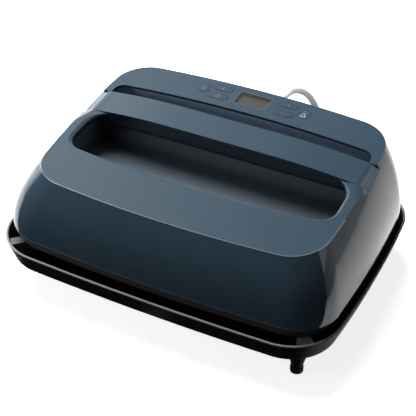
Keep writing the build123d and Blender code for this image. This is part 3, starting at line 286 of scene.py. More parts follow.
# painted highlight along the top of the tray's rim
fade_to(tray_black, "Z", *RIM_PAINTED_HIGHLIGHT, (0.30, 0.305, 0.31))
ring_black = finish(
    "ring_black", (0.080, 0.073, 0.072), (0.096, 0.088, 0.087),
    roughness=0.55, grain=1400.0, depth=0.00006,
)
rest_grey = finish(
    "rest_grey", (0.150, 0.150, 0.155), (0.190, 0.190, 0.195),
    roughness=0.70, grain=700.0, depth=0.00008,
)
tip_rubber = finish(
    "tip_rubber", (0.012, 0.012, 0.012), (0.022, 0.022, 0.022),
    roughness=0.80, grain=800.0, depth=0.00010,
)
cord_jacket = finish(
    "cord_jacket", (0.53, 0.52, 0.49), (0.58, 0.57, 0.54),
    roughness=0.52, grain=900.0, depth=0.00006, cloud=20.0,
    Subsurface_Weight=1.0, Subsurface_Radius=(1.0, 1.0, 1.0), Subsurface_Scale=0.012,
)
gland_rubber = finish(
    "gland_rubber", (0.48, 0.465, 0.43), (0.55, 0.535, 0.50),
    roughness=0.60, grain=800.0, depth=0.00008,
)
print("finishes so far:", len(bpy.data.materials))

# %% Finishes of the window and the printed signs
clear_window = finish(
    "clear_window", (0.10, 0.10, 0.095), (0.12, 0.12, 0.115),
    roughness=0.08, grain=300.0, depth=0.000002,
    Alpha=0.30, Coat_Weight=1.0,
)
screen_grey = finish(
    "screen_grey", (0.082, 0.078, 0.071), (0.098, 0.093, 0.085),
    roughness=0.40, grain=300.0, depth=0.00001, cloud=25.0,
)
bevel_grey = finish(
    "bevel_grey", (0.060, 0.072, 0.085), (0.080, 0.092, 0.105),
    roughness=0.35, grain=900.0, depth=0.00002,
    Specular_IOR_Level=0.3,
)
mark_ink = finish(
    "mark_ink", (0.12, 0.14, 0.16), (0.15, 0.17, 0.19),
    roughness=0.60, grain=900.0, depth=0.00001,
)
white_ink = finish(
    "white_ink", (0.62, 0.64, 0.66), (0.72, 0.74, 0.76),
    roughness=0.60, grain=900.0, depth=0.00001,
)
print("finishes so far:", len(bpy.data.materials))

# %% [markdown]
# ## What lies inside
# Under the housing sit a cast plate, a heating loop, fibre, sheet steel, two boards and their wires.
# They show only when the press is taken apart, or from below, but each still gets its own finish:
# metals are the same helper with Metallic turned up, and fibre has a coarse, deep grain.

# %% Finishes of the inner parts
cast_plate = finish(
    "cast_plate", (0.50, 0.50, 0.51), (0.62, 0.62, 0.63),
    roughness=0.38, grain=500.0, depth=0.00005, Metallic=1.0,
)
bright_steel = finish(
    "bright_steel", (0.46, 0.46, 0.48), (0.60, 0.60, 0.62),
    roughness=0.30, grain=1500.0, depth=0.00002, Metallic=1.0,
)
heat_tint = finish(
    "heat_tint", (0.20, 0.16, 0.13), (0.34, 0.30, 0.27),
    roughness=0.42, grain=900.0, depth=0.00004, Metallic=1.0,
)
pin_brass = finish(
    "pin_brass", (0.55, 0.40, 0.16), (0.70, 0.53, 0.24),
    roughness=0.28, grain=900.0, depth=0.00002, Metallic=1.0,
)
fibre_mat = finish(
    "fibre_mat", (0.58, 0.54, 0.46), (0.78, 0.74, 0.66),
    roughness=0.95, grain=350.0, depth=0.00060, cloud=60.0,
)
frame_black = finish(
    "frame_black", (0.030, 0.030, 0.031), (0.044, 0.044, 0.045),
    roughness=0.55, grain=1000.0, depth=0.00006,
)
board_green = finish(
    "board_green", (0.016, 0.110, 0.045), (0.026, 0.150, 0.066),
    roughness=0.36, grain=260.0, depth=0.00004,
)
relay_blue = finish(
    "relay_blue", (0.030, 0.075, 0.26), (0.045, 0.10, 0.33),
    roughness=0.34, grain=800.0, depth=0.00003,
)
part_black = finish(
    "part_black", (0.014, 0.014, 0.014), (0.028, 0.028, 0.028),
    roughness=0.34, grain=900.0, depth=0.00003,
)
pale_moulding = finish(
    "pale_moulding", (0.58, 0.58, 0.55), (0.68, 0.68, 0.65),
    roughness=0.45, grain=900.0, depth=0.00004,
)
wire_red = finish(
    "wire_red", (0.30, 0.020, 0.016), (0.40, 0.035, 0.028),
    roughness=0.55, grain=700.0, depth=0.00004,
)
ribbon_grey = finish(
    "ribbon_grey", (0.34, 0.34, 0.34), (0.44, 0.44, 0.44),
    roughness=0.55, grain=500.0, depth=0.00005,
)
print("finishes:", len(bpy.data.materials))

# %% [markdown]
# ## Dressing the solids
# A solid from the CAD model keeps its mesh, and only its material changes. Each could be dressed in
# a line of its own, but one table from finish to solids is easier to read and to check.

# %% Dress the CAD nodes
DRESS = {
    lacquer: ["outer_shell"],
    grip_navy: ["handle_grip"],
    tray_black: ["base_tray"],
    ring_black: ["lower_ring"],
    well_grey: ["finger_well"],
    rest_grey: ["corner_rests"],
    tip_rubber: ["foot_tips", "window_gasket"],
    button_navy: [
        "power_button", "temperature_button", "timer_button",
        "plus_button", "minus_button", "start_button",
    ],
    cast_plate: ["heat_plate"],
    bright_steel: [
        "handle_screws", "element_clamps", "temperature_sensor", "sensor_clip", "fuse_bracket",
        "plate_standoffs", "plate_screws", "chassis_screws", "shell_screws", "board_screws",
        "panel_screws", "heat_shield", "heat_sink",
    ],
    heat_tint: ["heating_element"],
    pin_brass: ["element_terminals", "plug_pins"],
    fibre_mat: ["insulation_mat"],
    frame_black: ["chassis"],
    board_green: ["power_board", "control_board"],
    relay_blue: ["relay"],
    part_black: ["capacitors", "buzzer", "tact_switches", "cord_tie"],
    pale_moulding: ["thermal_fuse", "button_carrier", "terminal_block", "cord_clamp"],
    screen_grey: ["display_module"],
    wire_red: ["mains_wires", "element_leads"],
    ribbon_grey: ["ribbon_cable"],
    cord_jacket: ["inner_cord", "cord_lead", "cord_coil", "mains_plug"],
    gland_rubber: ["strain_relief"],
    clear_window: ["display_window"],
}
for material, names in DRESS.items():
    for name in names:
        nodes[name].data.materials.clear()
        nodes[name].data.materials.append(material)
undressed = set(nodes) - {name for names in DRESS.values() for name in names}
print("dressed:", len(nodes) - len(undressed), "left:", sorted(undressed))

# %% [markdown]
# ## Ridges on the plug
# A plug has ridges on its sides for the fingers. They could be bevelled boxes, but each is a bar with
# a half-round section, so one small surface is worked out once and set down five times on each side.

# %% Grip ridges
PLUG_MIDDLE, PLUG_HALF = np.array([-0.02299, 0.1790, 0.0124]), 0.0110
RIDGES, RIDGE_RADIUS, RIDGE_HALF, ROW_HALF = 5, 0.0008, 0.0075, 0.0072
BAR_ALONG, BAR_AROUND = 13, 9
END_POWER = 8  # a high power keeps the bar full until close to its ends


def half_round():
    """Half-round bar: one parameter runs from end to end and lowers the ends by a high power.

    The other goes over the top in a half turn.
    """
    u, turn = np.meshgrid(
        np.linspace(-1, 1, BAR_ALONG), np.linspace(0, np.pi, BAR_AROUND), indexing="ij",
    )
    height = RIDGE_RADIUS * np.sin(turn) * np.sqrt(np.clip(1 - u**END_POWER, 0, 1))
    return np.stack([height, RIDGE_RADIUS * np.cos(turn), RIDGE_HALF * u], axis=-1)


bars = np.tile(half_round(), (2, RIDGES, 1, 1, 1))
bars[..., 0] += PLUG_HALF
bars[..., 1] += np.linspace(-ROW_HALF, ROW_HALF, RIDGES)[None, :, None, None]
bars[1, ..., 0] *= -1
quads = grid_quads(BAR_ALONG, BAR_AROUND)
count = np.arange(2 * RIDGES)[:, None, None]
sides = np.where(count < RIDGES, quads[None, :, ::-1], quads[None])
ridge_faces = (sides + count * BAR_ALONG * BAR_AROUND).reshape(-1, 4)
plug_ridges = lay_mesh("plug_ridges", bars + PLUG_MIDDLE, ridge_faces.tolist(), cord_jacket)
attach(plug_ridges, "tray")
print("plug ridges:", 2 * RIDGES)

# %% [markdown]
# ## The mains cord
# The cord leaves the gland level, bends over under its own weight, and ends in a tied coil behind the
# press, where the housing hides it. It could be a bevelled curve, but here it is a mesh tube: a circle
# carried along points that are read from a smooth spline.

# %% Route of the cord
CORD_RADIUS = 0.0035
EXIT = (0.0112, 0.1410, 0.11061)
LEAD = np.array([
    EXIT,
    (0.01120, 0.16074, 0.11061),
    (0.01771, 0.18132, 0.10691),
    (0.02884, 0.19287, 0.09199),
    (0.04123, 0.18923, 0.07051),
    (0.05698, 0.18699, 0.04755),
    (0.06503, 0.18951, 0.02501),
    (0.07098, 0.20197, 0.01009),
    (0.07301, 0.21548, 0.00480),
    (0.07301, 0.22850, 0.00480),
])
COIL_CENTRE = np.array([0.02501, 0.23580])
RING_RADII_MM = [48.0, 44.2, 40.4, 36.6, 32.8, 29.0, 25.2, 32.8, 36.6, 40.4, 44.2, 48.0]
RING_HEIGHTS_MM = [4.8] * 6 + [12.4] * 6
STEPS_PER_HALF_TURN = 8
SPLINE_PULL = 1.0194  # the spline runs this much inside its points on a circle of sixteen
TAIL_STEPS = np.array([(0.0, -0.010, 0.0), (0.0, -0.021, 0.0), (0.0, -0.032, 0.0)])
ends = np.arange(len(RING_RADII_MM))
half_turns = np.arange(0, ends[-1] * STEPS_PER_HALF_TURN + 1) / STEPS_PER_HALF_TURN
reach = np.interp(half_turns, ends, np.array(RING_RADII_MM) / 1000) * SPLINE_PULL
coil = np.stack([
    COIL_CENTRE[0] + reach * np.cos(np.pi * half_turns),
    COIL_CENTRE[1] + reach * np.sin(np.pi * half_turns),
    np.interp(half_turns, ends, np.array(RING_HEIGHTS_MM) / 1000),
], axis=1)
route = np.concatenate([LEAD, coil[1:], coil[-1] + TAIL_STEPS])
print("route points:", len(route))

# %% Read the spline
SPLINE_STEPS = 8
spline_data = bpy.data.curves.new("cord_route", "CURVE")
spline_data.dimensions = "3D"
spline = spline_data.splines.new("NURBS")
spline.points.add(len(route) - 1)
spline.points.foreach_set("co", np.column_stack([route, np.ones(len(route))]).ravel())
spline.order_u = 3
spline.use_endpoint_u = True
spline.resolution_u = SPLINE_STEPS
spline_object = bpy.data.objects.new("cord_route", spline_data)
line_mesh = bpy.data.meshes.new_from_object(spline_object)
line = np.empty(len(line_mesh.vertices) * 3)
line_mesh.vertices.foreach_get("co", line)
line = line.reshape(-1, 3)
bpy.data.objects.remove(spline_object)

# %% Carry a circle along the spline
CORD_AROUND = 20


def carry_circle(path, radius, around):
    """Circle of one radius square to the path at each point, with its sides set by the vertical."""
    ahead = np.gradient(path, axis=0)
    ahead /= np.linalg.norm(ahead, axis=1, keepdims=True)
    side = np.cross(ahead, (0.0, 0.0, 1.0))
    side /= np.linalg.norm(side, axis=1, keepdims=True)
    above = np.cross(side, ahead)
    turn = np.linspace(0, 2 * np.pi, around, endpoint=False)[None, :, None]
    ring = np.cos(turn) * side[:, None, :] + np.sin(turn) * above[:, None, :]
    return path[:, None, :] + radius * ring


tube = carry_circle(line, CORD_RADIUS, CORD_AROUND)
quads = grid_quads(len(line), CORD_AROUND, closed=True)
first_ring = np.arange(CORD_AROUND)
last_ring = first_ring + (len(line) - 1) * CORD_AROUND
cord_faces = quads.tolist() + [first_ring[::-1].tolist(), last_ring.tolist()]
cord = lay_mesh("cord", tube, cord_faces, cord_jacket)
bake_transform(cord)
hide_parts("cord_lead", "cord_coil")
print("cord faces:", len(cord_faces))

# %% [markdown]
# ## The gland's ribs
# The rubber gland keeps the cord from kinking at the wall, and its ribs let it flex. They could be cut
# as solids, but a turned profile is enough: the taper's radius with a row of rounded waves on it.

# %% Ribs turned round the cord's exit
GLAND_START, GLAND_END = 0.1240, 0.1390
GLAND_ROOT, GLAND_TIP = 0.0067, 0.0048
RIBS, RIB_WAVE = 5, 0.0004
GLAND_ALONG, GLAND_AROUND = 81, 40


def ribbed_sleeve():
    """Turned sleeve: the radius falls from root to tip, with raised cosine ribs on it.

    It goes round the axis on which the cord leaves.
    """
    u, turn = np.meshgrid(
        np.linspace(0, 1, GLAND_ALONG),
        np.linspace(0, 2 * np.pi, GLAND_AROUND, endpoint=False),
        indexing="ij",
    )
    taper = GLAND_ROOT + (GLAND_TIP - GLAND_ROOT) * u
    radius = taper + RIB_WAVE * (1 - np.cos(2 * np.pi * RIBS * u))
    return np.stack([
        EXIT[0] + radius * np.sin(turn),
        GLAND_START + (GLAND_END - GLAND_START) * u,
        EXIT[2] + radius * np.cos(turn),
    ], axis=-1)


rib_faces = grid_quads(GLAND_ALONG, GLAND_AROUND, closed=True)
gland_ribs = lay_mesh("gland_ribs", ribbed_sleeve(), rib_faces.tolist(), gland_rubber)
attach(gland_ribs, "press")
print("gland ribs:", RIBS)

# %% [markdown]
# ## The slot's rounded lip
# The finger slot has a soft edge that catches the light. A fillet on the solid would do it, but here
# the edge is a small profile, a quarter circle that turns down into a short wall, carried round the
# slot. It starts from nothing beside the handle and grows to its full size within a few centimetres.

# %% Paths on the deck
DECK_HEIGHT, DECK_SLOPE = 0.121, 0.1
PATH_POINTS = 33


def on_deck(plane, lift):
    """Points of the sloping deck: x across, then along the slope, with a lift square to it."""
    stretch = np.hypot(1, DECK_SLOPE)
    y = (plane[..., 1] - DECK_SLOPE * lift) / stretch
    z = DECK_HEIGHT + (DECK_SLOPE * plane[..., 1] + lift) / stretch
    return np.stack([plane[..., 0], y, z], axis=-1)


def arc(radius, start, end, middle=(0.0, 0.0)):
    """Arc round a middle from one angle to another, in degrees."""
    turn = np.radians(np.linspace(start, end, PATH_POINTS))
    return np.stack([middle[0] + radius * np.cos(turn), middle[1] + radius * np.sin(turn)], axis=1)


def left_of(path):
    """Unit steps to the left of a flat path: its direction at each point, a quarter turn round."""
    ahead = np.gradient(path, axis=0)
    ahead /= np.linalg.norm(ahead, axis=1, keepdims=True)
    return np.stack([-ahead[:, 1], ahead[:, 0]], axis=1)


print("deck helpers ready")

# %% Lip round the front and the ends of the slot
SLOT_CORNER, SLOT_END, SLOT_REAR, SLOT_FRONT = 0.02208, 0.12092, 0.00092, -0.01737
SLOT_BOW, BOW_CENTRE, BOW_HALF_TURN = 1.14440, 1.09840, 6.2
LIP_RADIUS, LIP_WALL, LIP_RUN_IN = 0.0042, 0.0020, 0.030
LIP_OVERLAP, LIP_PROUD, LIP_STEPS = 0.0004, 0.00006, 9
slot_path = np.concatenate([
    arc(SLOT_CORNER, 90, 180, (-SLOT_END, SLOT_REAR)),
    arc(SLOT_CORNER, 180, 270 - BOW_HALF_TURN, (-SLOT_END, SLOT_FRONT))[1:],
    arc(SLOT_BOW, 270 - BOW_HALF_TURN, 270 + BOW_HALF_TURN, (0.0, BOW_CENTRE))[1:],
    arc(SLOT_CORNER, 270 + BOW_HALF_TURN, 360, (SLOT_END, SLOT_FRONT))[1:],
    arc(SLOT_CORNER, 0, 90, (SLOT_END, SLOT_REAR))[1:],
])
gone = np.append(0.0, np.cumsum(np.linalg.norm(np.diff(slot_path, axis=0), axis=1)))
share = np.clip(np.minimum(gone, gone[-1] - gone) / LIP_RUN_IN, 0.0, 1.0)
size = (share**2 * (3 - 2 * share))[:, None]  # an S-curve from nothing to the full profile
turn = np.linspace(0, np.pi / 2, LIP_STEPS)
inset = size * np.append(LIP_RADIUS * np.sin(turn), LIP_RADIUS) - LIP_OVERLAP
drop = size * np.append(LIP_RADIUS * (1 - np.cos(turn)), LIP_RADIUS + LIP_WALL) - LIP_PROUD
lip_plane = slot_path[:, None, :] + inset[:, :, None] * left_of(slot_path)[:, None, :]
lip_faces = grid_quads(*drop.shape)[:, ::-1]
slot_lip = lay_mesh("slot_lip", on_deck(lip_plane, -drop), lip_faces.tolist(), lacquer)
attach(slot_lip, "press")
print("slot lip:", len(slot_path), "steps")

# %% [markdown]
# ## The deck's soft edge
# Where the deck meets the walls the moulding is rounded off by a hair, and that round draws a thin
# bright line. Bevelling a copy of the housing would do it. Here a narrow bead follows the deck's
# outline, which is a large bow at the front and one at each side, joined by corner arcs. A corner's
# centre lies where two circles cross, one inside each bow.

# %% Outline of the deck's front half
DECK_HALF_WIDTH, DECK_HALF_DEPTH, DECK_MIDDLE = 0.1515, 0.10809, 0.01161
FRONT_BOW, SIDE_BOW, DECK_CORNER = 1.2, 0.9, 0.038
BEAD_STOP = -0.026
front_centre, side_centre = FRONT_BOW - DECK_HALF_DEPTH, DECK_HALF_WIDTH - SIDE_BOW
front_reach, side_reach = FRONT_BOW - DECK_CORNER, SIDE_BOW - DECK_CORNER
apart = np.hypot(side_centre, front_centre)
along = (front_reach**2 - side_reach**2 + apart**2) / (2 * apart)
across = np.sqrt(front_reach**2 - along**2)
corner_x = (along * side_centre + across * front_centre) / apart
corner_y = front_centre + (across * side_centre - along * front_centre) / apart
front_turn = np.degrees(np.arctan2(corner_x, front_centre - corner_y))
side_turn = np.degrees(np.arctan2(-corner_y, corner_x - side_centre))
stop_turn = np.degrees(np.arcsin((DECK_MIDDLE - BEAD_STOP) / SIDE_BOW))
corner_place = DECK_MIDDLE + corner_y
deck_path = np.concatenate([
    arc(SIDE_BOW, 180 + stop_turn, 180 + side_turn, (-side_centre, DECK_MIDDLE)),
    arc(DECK_CORNER, 180 + side_turn, 270 - front_turn, (-corner_x, corner_place))[1:],
    arc(FRONT_BOW, 270 - front_turn, 270 + front_turn, (0.0, DECK_MIDDLE + front_centre))[1:],
    arc(DECK_CORNER, front_turn - 90, -side_turn, (corner_x, corner_place))[1:],
    arc(SIDE_BOW, -side_turn, -stop_turn, (side_centre, DECK_MIDDLE))[1:],
])
print("deck outline:", len(deck_path), "points")

# %% Bead on the edge
BEAD_RADIUS, BEAD_PROUD, BEAD_FROM, BEAD_TO, BEAD_AROUND = 0.0018, 0.00022, 98, 28, 13
WALL_LEAN = 0.51
turn = np.radians(np.linspace(BEAD_FROM, BEAD_TO, BEAD_AROUND))
step_out = WALL_LEAN * (BEAD_PROUD - BEAD_RADIUS) + BEAD_RADIUS * np.cos(turn)
step_up = BEAD_PROUD - BEAD_RADIUS + BEAD_RADIUS * np.sin(turn)
bead_plane = deck_path[:, None, :] - step_out[None, :, None] * left_of(deck_path)[:, None, :]
bead_points = on_deck(bead_plane, step_up[None, :])
bead_faces = grid_quads(len(deck_path), BEAD_AROUND)
deck_edge = lay_mesh("deck_edge", bead_points, bead_faces.tolist(), edge_lacquer)
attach(deck_edge, "press")
print("deck edge:", len(bead_faces), "faces")

# %% [markdown]
# ## Printed signs
# Small signs on the buttons say what they do. They are ink, so each is a set of thin flat strips on
# the sloping deck, a few hundredths of a millimetre over the button, and travels with the button.
# Text objects would do, but strips along a path need no font.

# %% Strips and marks
MARK_LIFT = 0.00034


def bar_path(start, end):
    """Straight path from start to end."""
    return np.linspace(start, end, PATH_POINTS)


def strip(path, width):
    """Flat strip of one width: the path moved to its left and to its right."""
    half = left_of(path) * width / 2
    return np.stack([path - half, path + half], axis=1)


def print_mark(name, body, place, paths, width, ink):
    """Mark made of strips round a place on the deck, printed on a button that moves with its body."""
    strips = np.stack([strip(path, width) for path in paths]) + np.array(place)
    starts = 2 * PATH_POINTS * np.arange(len(paths))[:, None, None]
    faces = (grid_quads(PATH_POINTS, 2)[None, :, ::-1] + starts).reshape(-1, 4)
    mark = lay_mesh(name, on_deck(strips, MARK_LIFT), faces.tolist(), ink)
    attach(mark, body)
    return mark


print("mark helpers ready")

# %% Signs on the six buttons
SIGN_WIDTH, ARROW_WIDTH = 0.0005, 0.00045
SIGN_PLACES = {
    "power_button": (-0.0565, 0.1010),
    "temperature_button": (-0.0367, 0.1082),
    "timer_button": (-0.0367, 0.0938),
    "plus_button": (0.0367, 0.1082),
    "minus_button": (0.0367, 0.0938),
    "start_button": (0.0565, 0.1010),
}
level_bar = bar_path((-0.0016, 0), (0.0016, 0))
SIGNS = {
    "power_button": [arc(0.0022, 125, 415), bar_path((0, 0.0008), (0, 0.0030))],
    "temperature_button": [
        arc(0.0010, 0, 360, (0, -0.0016)),
        bar_path((0, -0.0006), (0, 0.0024)),
        bar_path((0.0010, 0.0022), (0.0018, 0.0022)),
        bar_path((0.0010, 0.0010), (0.0018, 0.0010)),
    ],
    "timer_button": [
        arc(0.0023, 0, 360),
        bar_path((0, 0), (0, 0.0014)),
        bar_path((0, 0), (0.0011, 0)),
    ],
    "plus_button": [level_bar, bar_path((0, -0.0016), (0, 0.0016))],
    "minus_button": [level_bar],
    "start_button": [arc(0.0020, -20, 200, (0, 0.0024))],
}
for button, paths in SIGNS.items():
    sign = button.replace("button", "sign")
    print_mark(sign, button, SIGN_PLACES[button], paths, SIGN_WIDTH, mark_ink)
corners = np.array([(-0.0029, -0.0047), (0.0029, -0.0047), (0.0, 0.0012)])
triangle = [bar_path(*pair) for pair in zip(corners, np.roll(corners, -1, axis=0))]
start_place = SIGN_PLACES["start_button"]
print_mark("start_arrow", "start_button", start_place, triangle, ARROW_WIDTH, white_ink)
print("signs:", len(SIGNS) + 1)

# %% [markdown]
# ## The window's bevel
# A thin bevel frames the clear window in the rear deck. It could be cut into the housing, but three
# rounded rectangles, each a little larger than the last, give its two faces when they are joined.

# %% Bevel round the window
WINDOW_PLACE = np.array([0.0, 0.1010])
WINDOW_HALF_WIDTH, WINDOW_HALF_HEIGHT, WINDOW_CORNER = 0.0180, 0.0105, 0.0020
CORNER_STEPS = 9
BEVEL_GROWTH = (-0.0009, -0.0002, 0.0003)
BEVEL_LIFTS = np.array([-0.0002, 0.0003, 0.00005])[:, None]


def rounded_path(grow):
    """Closed path round the window, grown by a little: a quarter circle round each of its corners."""
    turn = np.radians(np.arange(4)[:, None] * 90 + np.linspace(0, 90, CORNER_STEPS)[None, :])
    side = np.array([(1, 1), (-1, 1), (-1, -1), (1, -1)])[:, None, :]
    corner = side * np.array([WINDOW_HALF_WIDTH, WINDOW_HALF_HEIGHT]) - side * WINDOW_CORNER
    quarter = (WINDOW_CORNER + grow) * np.stack([np.cos(turn), np.sin(turn)], axis=-1)
    return (corner + quarter).reshape(-1, 2)


rings = np.stack([rounded_path(grow) for grow in BEVEL_GROWTH])
bevel_points = on_deck(rings + WINDOW_PLACE, BEVEL_LIFTS)
bevel_faces = grid_quads(*rings.shape[:2], closed=True)[:, ::-1]
window_bevel = lay_mesh("window_bevel", bevel_points, bevel_faces.tolist(), bevel_grey)
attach(window_bevel, "press")
print("window bevel:", len(bevel_faces), "faces")

# %% [markdown]
# ## The floor
# The press stands on a plain pale floor, which is white to the camera, in reflections and through
# glass. As a white floor would also throw light up at the dark walls, it is grey to plain light: the
# Light Path node tells the two kinds of ray apart.


# %% Floor that is white to the eye and grey to the light
def seen_share(tree):
    """One for a ray of the camera, a reflection or glass, and zero for a ray of plain light."""
    ray = tree.nodes.new("ShaderNodeLightPath")
    mirrored = compute(tree, "MAXIMUM", ray.outputs["Is Camera Ray"], ray.outputs["Is Glossy Ray"])
    return compute(tree, "MAXIMUM", mirrored, ray.outputs["Is Transmission Ray"])


FLOOR_HALF = 6.0
FLOOR_GREY, PAPER_WHITE = (0.10, 0.10, 0.10, 1.0), (0.92, 0.92, 0.92, 1.0)
PAPER_GLOW, PAPER_ROUGHNESS = 0.82, 0.9
floor_paper = bpy.data.materials.new("floor_paper")
floor_paper.use_nodes = True
tree = floor_paper.node_tree
paper = tree.nodes["Principled BSDF"]
paper.inputs["Base Color"].default_value = FLOOR_GREY
paper.inputs["Roughness"].default_value = PAPER_ROUGHNESS
white_paper = tree.nodes.new("ShaderNodeBsdfDiffuse")
white_paper.inputs["Color"].default_value = PAPER_WHITE
glow_paper = tree.nodes.new("ShaderNodeEmission")
glow_paper.inputs["Strength"].default_value = PAPER_GLOW
lit_paper = tree.nodes.new("ShaderNodeAddShader")
tree.links.new(white_paper.outputs["BSDF"], lit_paper.inputs[0])
tree.links.new(glow_paper.outputs["Emission"], lit_paper.inputs[1])
pick = tree.nodes.new("ShaderNodeMixShader")
tree.links.new(seen_share(tree), pick.inputs["Fac"])
tree.links.new(paper.outputs["BSDF"], pick.inputs[1])
tree.links.new(lit_paper.outputs["Shader"], pick.inputs[2])
tree.links.new(pick.outputs["Shader"], tree.nodes["Material Output"].inputs["Surface"])
floor_corners = FLOOR_HALF * np.array([(-1, -1, 0), (1, -1, 0), (1, 1, 0), (-1, 1, 0)])
floor = lay_mesh("floor", floor_corners, [[0, 1, 2, 3]], floor_paper)
print("floor:", 2 * FLOOR_HALF, "m square")

# %% [markdown]
# ## What the glossy walls mirror
# What a glossy wall shows is the studio around it. A picture of a studio could be used as the world,
# but a few panels are easier to aim. They stand on a sphere and only reflections see them: two dark
# ones in front, one over the back that fades to the right, one on the right, and three bright ones
# on the left for the corner, the deck's edge and the handle's end. A dark card on the floor in front
# keeps the white floor out of the front wall.

# %% Panels and cards that only reflections see
PANEL_ROWS, PANEL_COLUMNS = 25, 49
panel_glow = bpy.data.materials.new("panel_glow")
panel_glow.use_nodes = True
tree = panel_glow.node_tree
tree.nodes.remove(tree.nodes["Principled BSDF"])
level = tree.nodes.new("ShaderNodeAttribute")
level.attribute_name = "glow"
glow = tree.nodes.new("ShaderNodeEmission")
tree.links.new(level.outputs["Fac"], glow.inputs["Strength"])
tree.links.new(glow.outputs["Emission"], tree.nodes["Material Output"].inputs["Surface"])


def glow_piece(name, points, levels):
    """Mesh over a grid of points that glows at the given levels and shows in reflections only."""
    quads = grid_quads(PANEL_ROWS, PANEL_COLUMNS)
    piece = lay_mesh(name, points, quads.tolist(), panel_glow)
    glow_values = piece.data.attributes.new("glow", "FLOAT", "POINT")
    glow_values.data.foreach_set("value", levels.ravel().astype(np.float32))
    piece.visible_camera = False
    piece.visible_diffuse = False
    piece.visible_shadow = False
    piece.visible_transmission = False
    return piece


def panel(name, azimuths, elevations, level_of, reach=3.0):
    """Part of a sphere: azimuth from the rear to the right and elevation are its two parameters."""
    turn, rise = np.meshgrid(
        np.linspace(*azimuths, PANEL_COLUMNS), np.linspace(*elevations, PANEL_ROWS),
    )
    a, e = np.radians(turn), np.radians(rise)
    ball = np.stack([np.sin(a) * np.cos(e), np.cos(a) * np.cos(e), np.sin(e)], axis=-1)
    return glow_piece(name, reach * ball, level_of(turn, rise))


def card(name, centre, azimuths, radii, level_of):
    """Part of a flat ring round a centre: azimuth and radius are its two parameters."""
    turn, radius = np.meshgrid(
        np.linspace(*azimuths, PANEL_COLUMNS), np.linspace(*radii, PANEL_ROWS),
    )
    a = np.radians(turn)
    ring = np.stack([radius * np.sin(a), radius * np.cos(a), np.zeros(turn.shape)], axis=-1)
    return glow_piece(name, np.array(centre) + ring, level_of(turn, radius))


print("panel helpers ready")

# %% Levels across a panel
DARK_LEVEL = 0.03
LEFT_TO_RIGHT = ([-46, -36, -27, -18, 0], [1.35, 0.80, 0.42, 0.20, 0.15])
LOW_TO_HIGH = ([0, 10], [0.701, 0.66])
REAR_TO_FRONT = ([55, 90], [1.0, 0.5])
LEFT_BAND = ([269, 282, 298], [1.0, 3.2, 1.0])
SPOT_RIM, SPOT_SWELL = 1.0, 3.0


def dark(turn, other):
    """One low level all over."""
    return np.full(turn.shape, DARK_LEVEL)


def back_fade(turn, rise):
    """Level that falls from left to right."""
    return np.interp(turn, *LEFT_TO_RIGHT)


def right_fade(turn, rise):
    """Level that falls from low to high, times one that falls towards the front."""
    return np.interp(rise, *LOW_TO_HIGH) * np.interp(turn, *REAR_TO_FRONT)


def left_band(turn, rise):
    """Level that rises to an upright bright band and falls again."""
    return np.interp(turn, *LEFT_BAND)


def soft_spot(turn, rise):
    """Level that swells from the rim of the panel to its middle, by a parabola each way."""
    across = 2 * (turn - turn.min()) / np.ptp(turn) - 1
    up = 2 * (rise - rise.min()) / np.ptp(rise) - 1
    return SPOT_RIM + SPOT_SWELL * (1 - across**2) * (1 - up**2)


print("levels ready")

# %% Set up the panels and the card
CARD_CENTRE = (0.0, -0.11, 0.0006)  # a hair over the floor, under the front wall
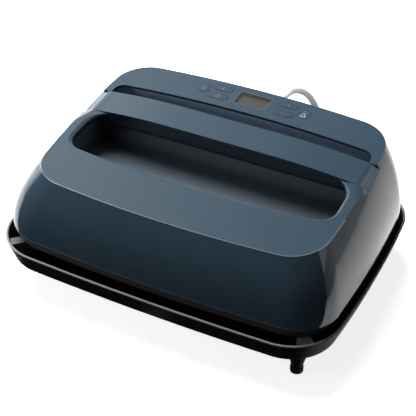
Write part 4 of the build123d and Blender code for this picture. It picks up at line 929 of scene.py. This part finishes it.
# each line gives the azimuths in degrees, then the elevations or a card's radii, then the levels
studio = [
    card("front_card", CARD_CENTRE, (90.0, 268.0), (0.02, 4.0), dark),
    panel("front_panel", (90.0, 236.0), (0.0, 62.0), dark),
    panel("front_left_panel", (236.0, 268.0), (0.0, 36.0), dark),
    panel("back_panel", (-62.0, 20.0), (26.0, 66.0), back_fade),
    panel("right_panel", (22.0, 90.0), (0.0, 24.0), right_fade),
    panel("left_panel", (269.0, 298.0), (0.0, 35.0), left_band),
    panel("edge_panel", (236.0, 292.0), (37.0, 66.0), soft_spot, reach=2.8),
    panel("end_panel", (298.0, 332.0), (2.0, 26.0), soft_spot),
]
print("panels and cards:", len(studio))

# %% [markdown]
# ## Lamps and world
# A broad lamp above and behind lights the tops and leaves the front dark, as in the photograph. A
# small one at the left opens the front wall's left end, and a tiny one fills the cord's arch. The
# world is white to the eye, like the floor, and gives only a faint even light.


# %% Lamps
def area_lamp(name, place, aim, size, watts):
    """Square lamp at a place, turned to face a point; it lights but isn't mirrored."""
    data = bpy.data.lights.new(name, "AREA")
    data.size = size
    data.energy = watts
    lamp = bpy.data.objects.new(name, data)
    lamp.location = place
    lamp.rotation_mode = "QUATERNION"
    lamp.rotation_quaternion = (Vector(aim) - Vector(place)).to_track_quat("-Z", "Y")
    lamp.visible_glossy = False
    lamp.visible_camera = False
    bpy.context.scene.collection.objects.link(lamp)
    return lamp


area_lamp("top_lamp", (-0.9, 0.65, 1.55), aim=(0.0, 0.0, 0.08), size=1.3, watts=66.0)
area_lamp("left_lamp", (-0.60, -0.52, 0.30), aim=(-0.1, 0.0, 0.09), size=0.3, watts=1.4)
area_lamp("cord_lamp", (0.02, 0.132, 0.138), aim=(0.02, 0.19, 0.105), size=0.05, watts=0.032)
print("lamps:", len(bpy.data.lights))

# %% World
WORLD_LIGHT, WORLD_TINT = 0.06, (0.95, 0.98, 1.0, 1.0)
world = bpy.data.worlds.new("studio")
bpy.context.scene.world = world
world.use_nodes = True
tree = world.node_tree
backdrop = tree.nodes["Background"]
backdrop.inputs["Color"].default_value = (1.0, 1.0, 1.0, 1.0)
backdrop.inputs["Strength"].default_value = 1.0
soft = tree.nodes.new("ShaderNodeBackground")
soft.inputs["Color"].default_value = WORLD_TINT
soft.inputs["Strength"].default_value = WORLD_LIGHT
pick = tree.nodes.new("ShaderNodeMixShader")
tree.links.new(seen_share(tree), pick.inputs["Fac"])
tree.links.new(soft.outputs["Background"], pick.inputs[1])
tree.links.new(backdrop.outputs["Background"], pick.inputs[2])
tree.links.new(pick.outputs["Shader"], tree.nodes["World Output"].inputs["Surface"])
print("world light:", WORLD_LIGHT)
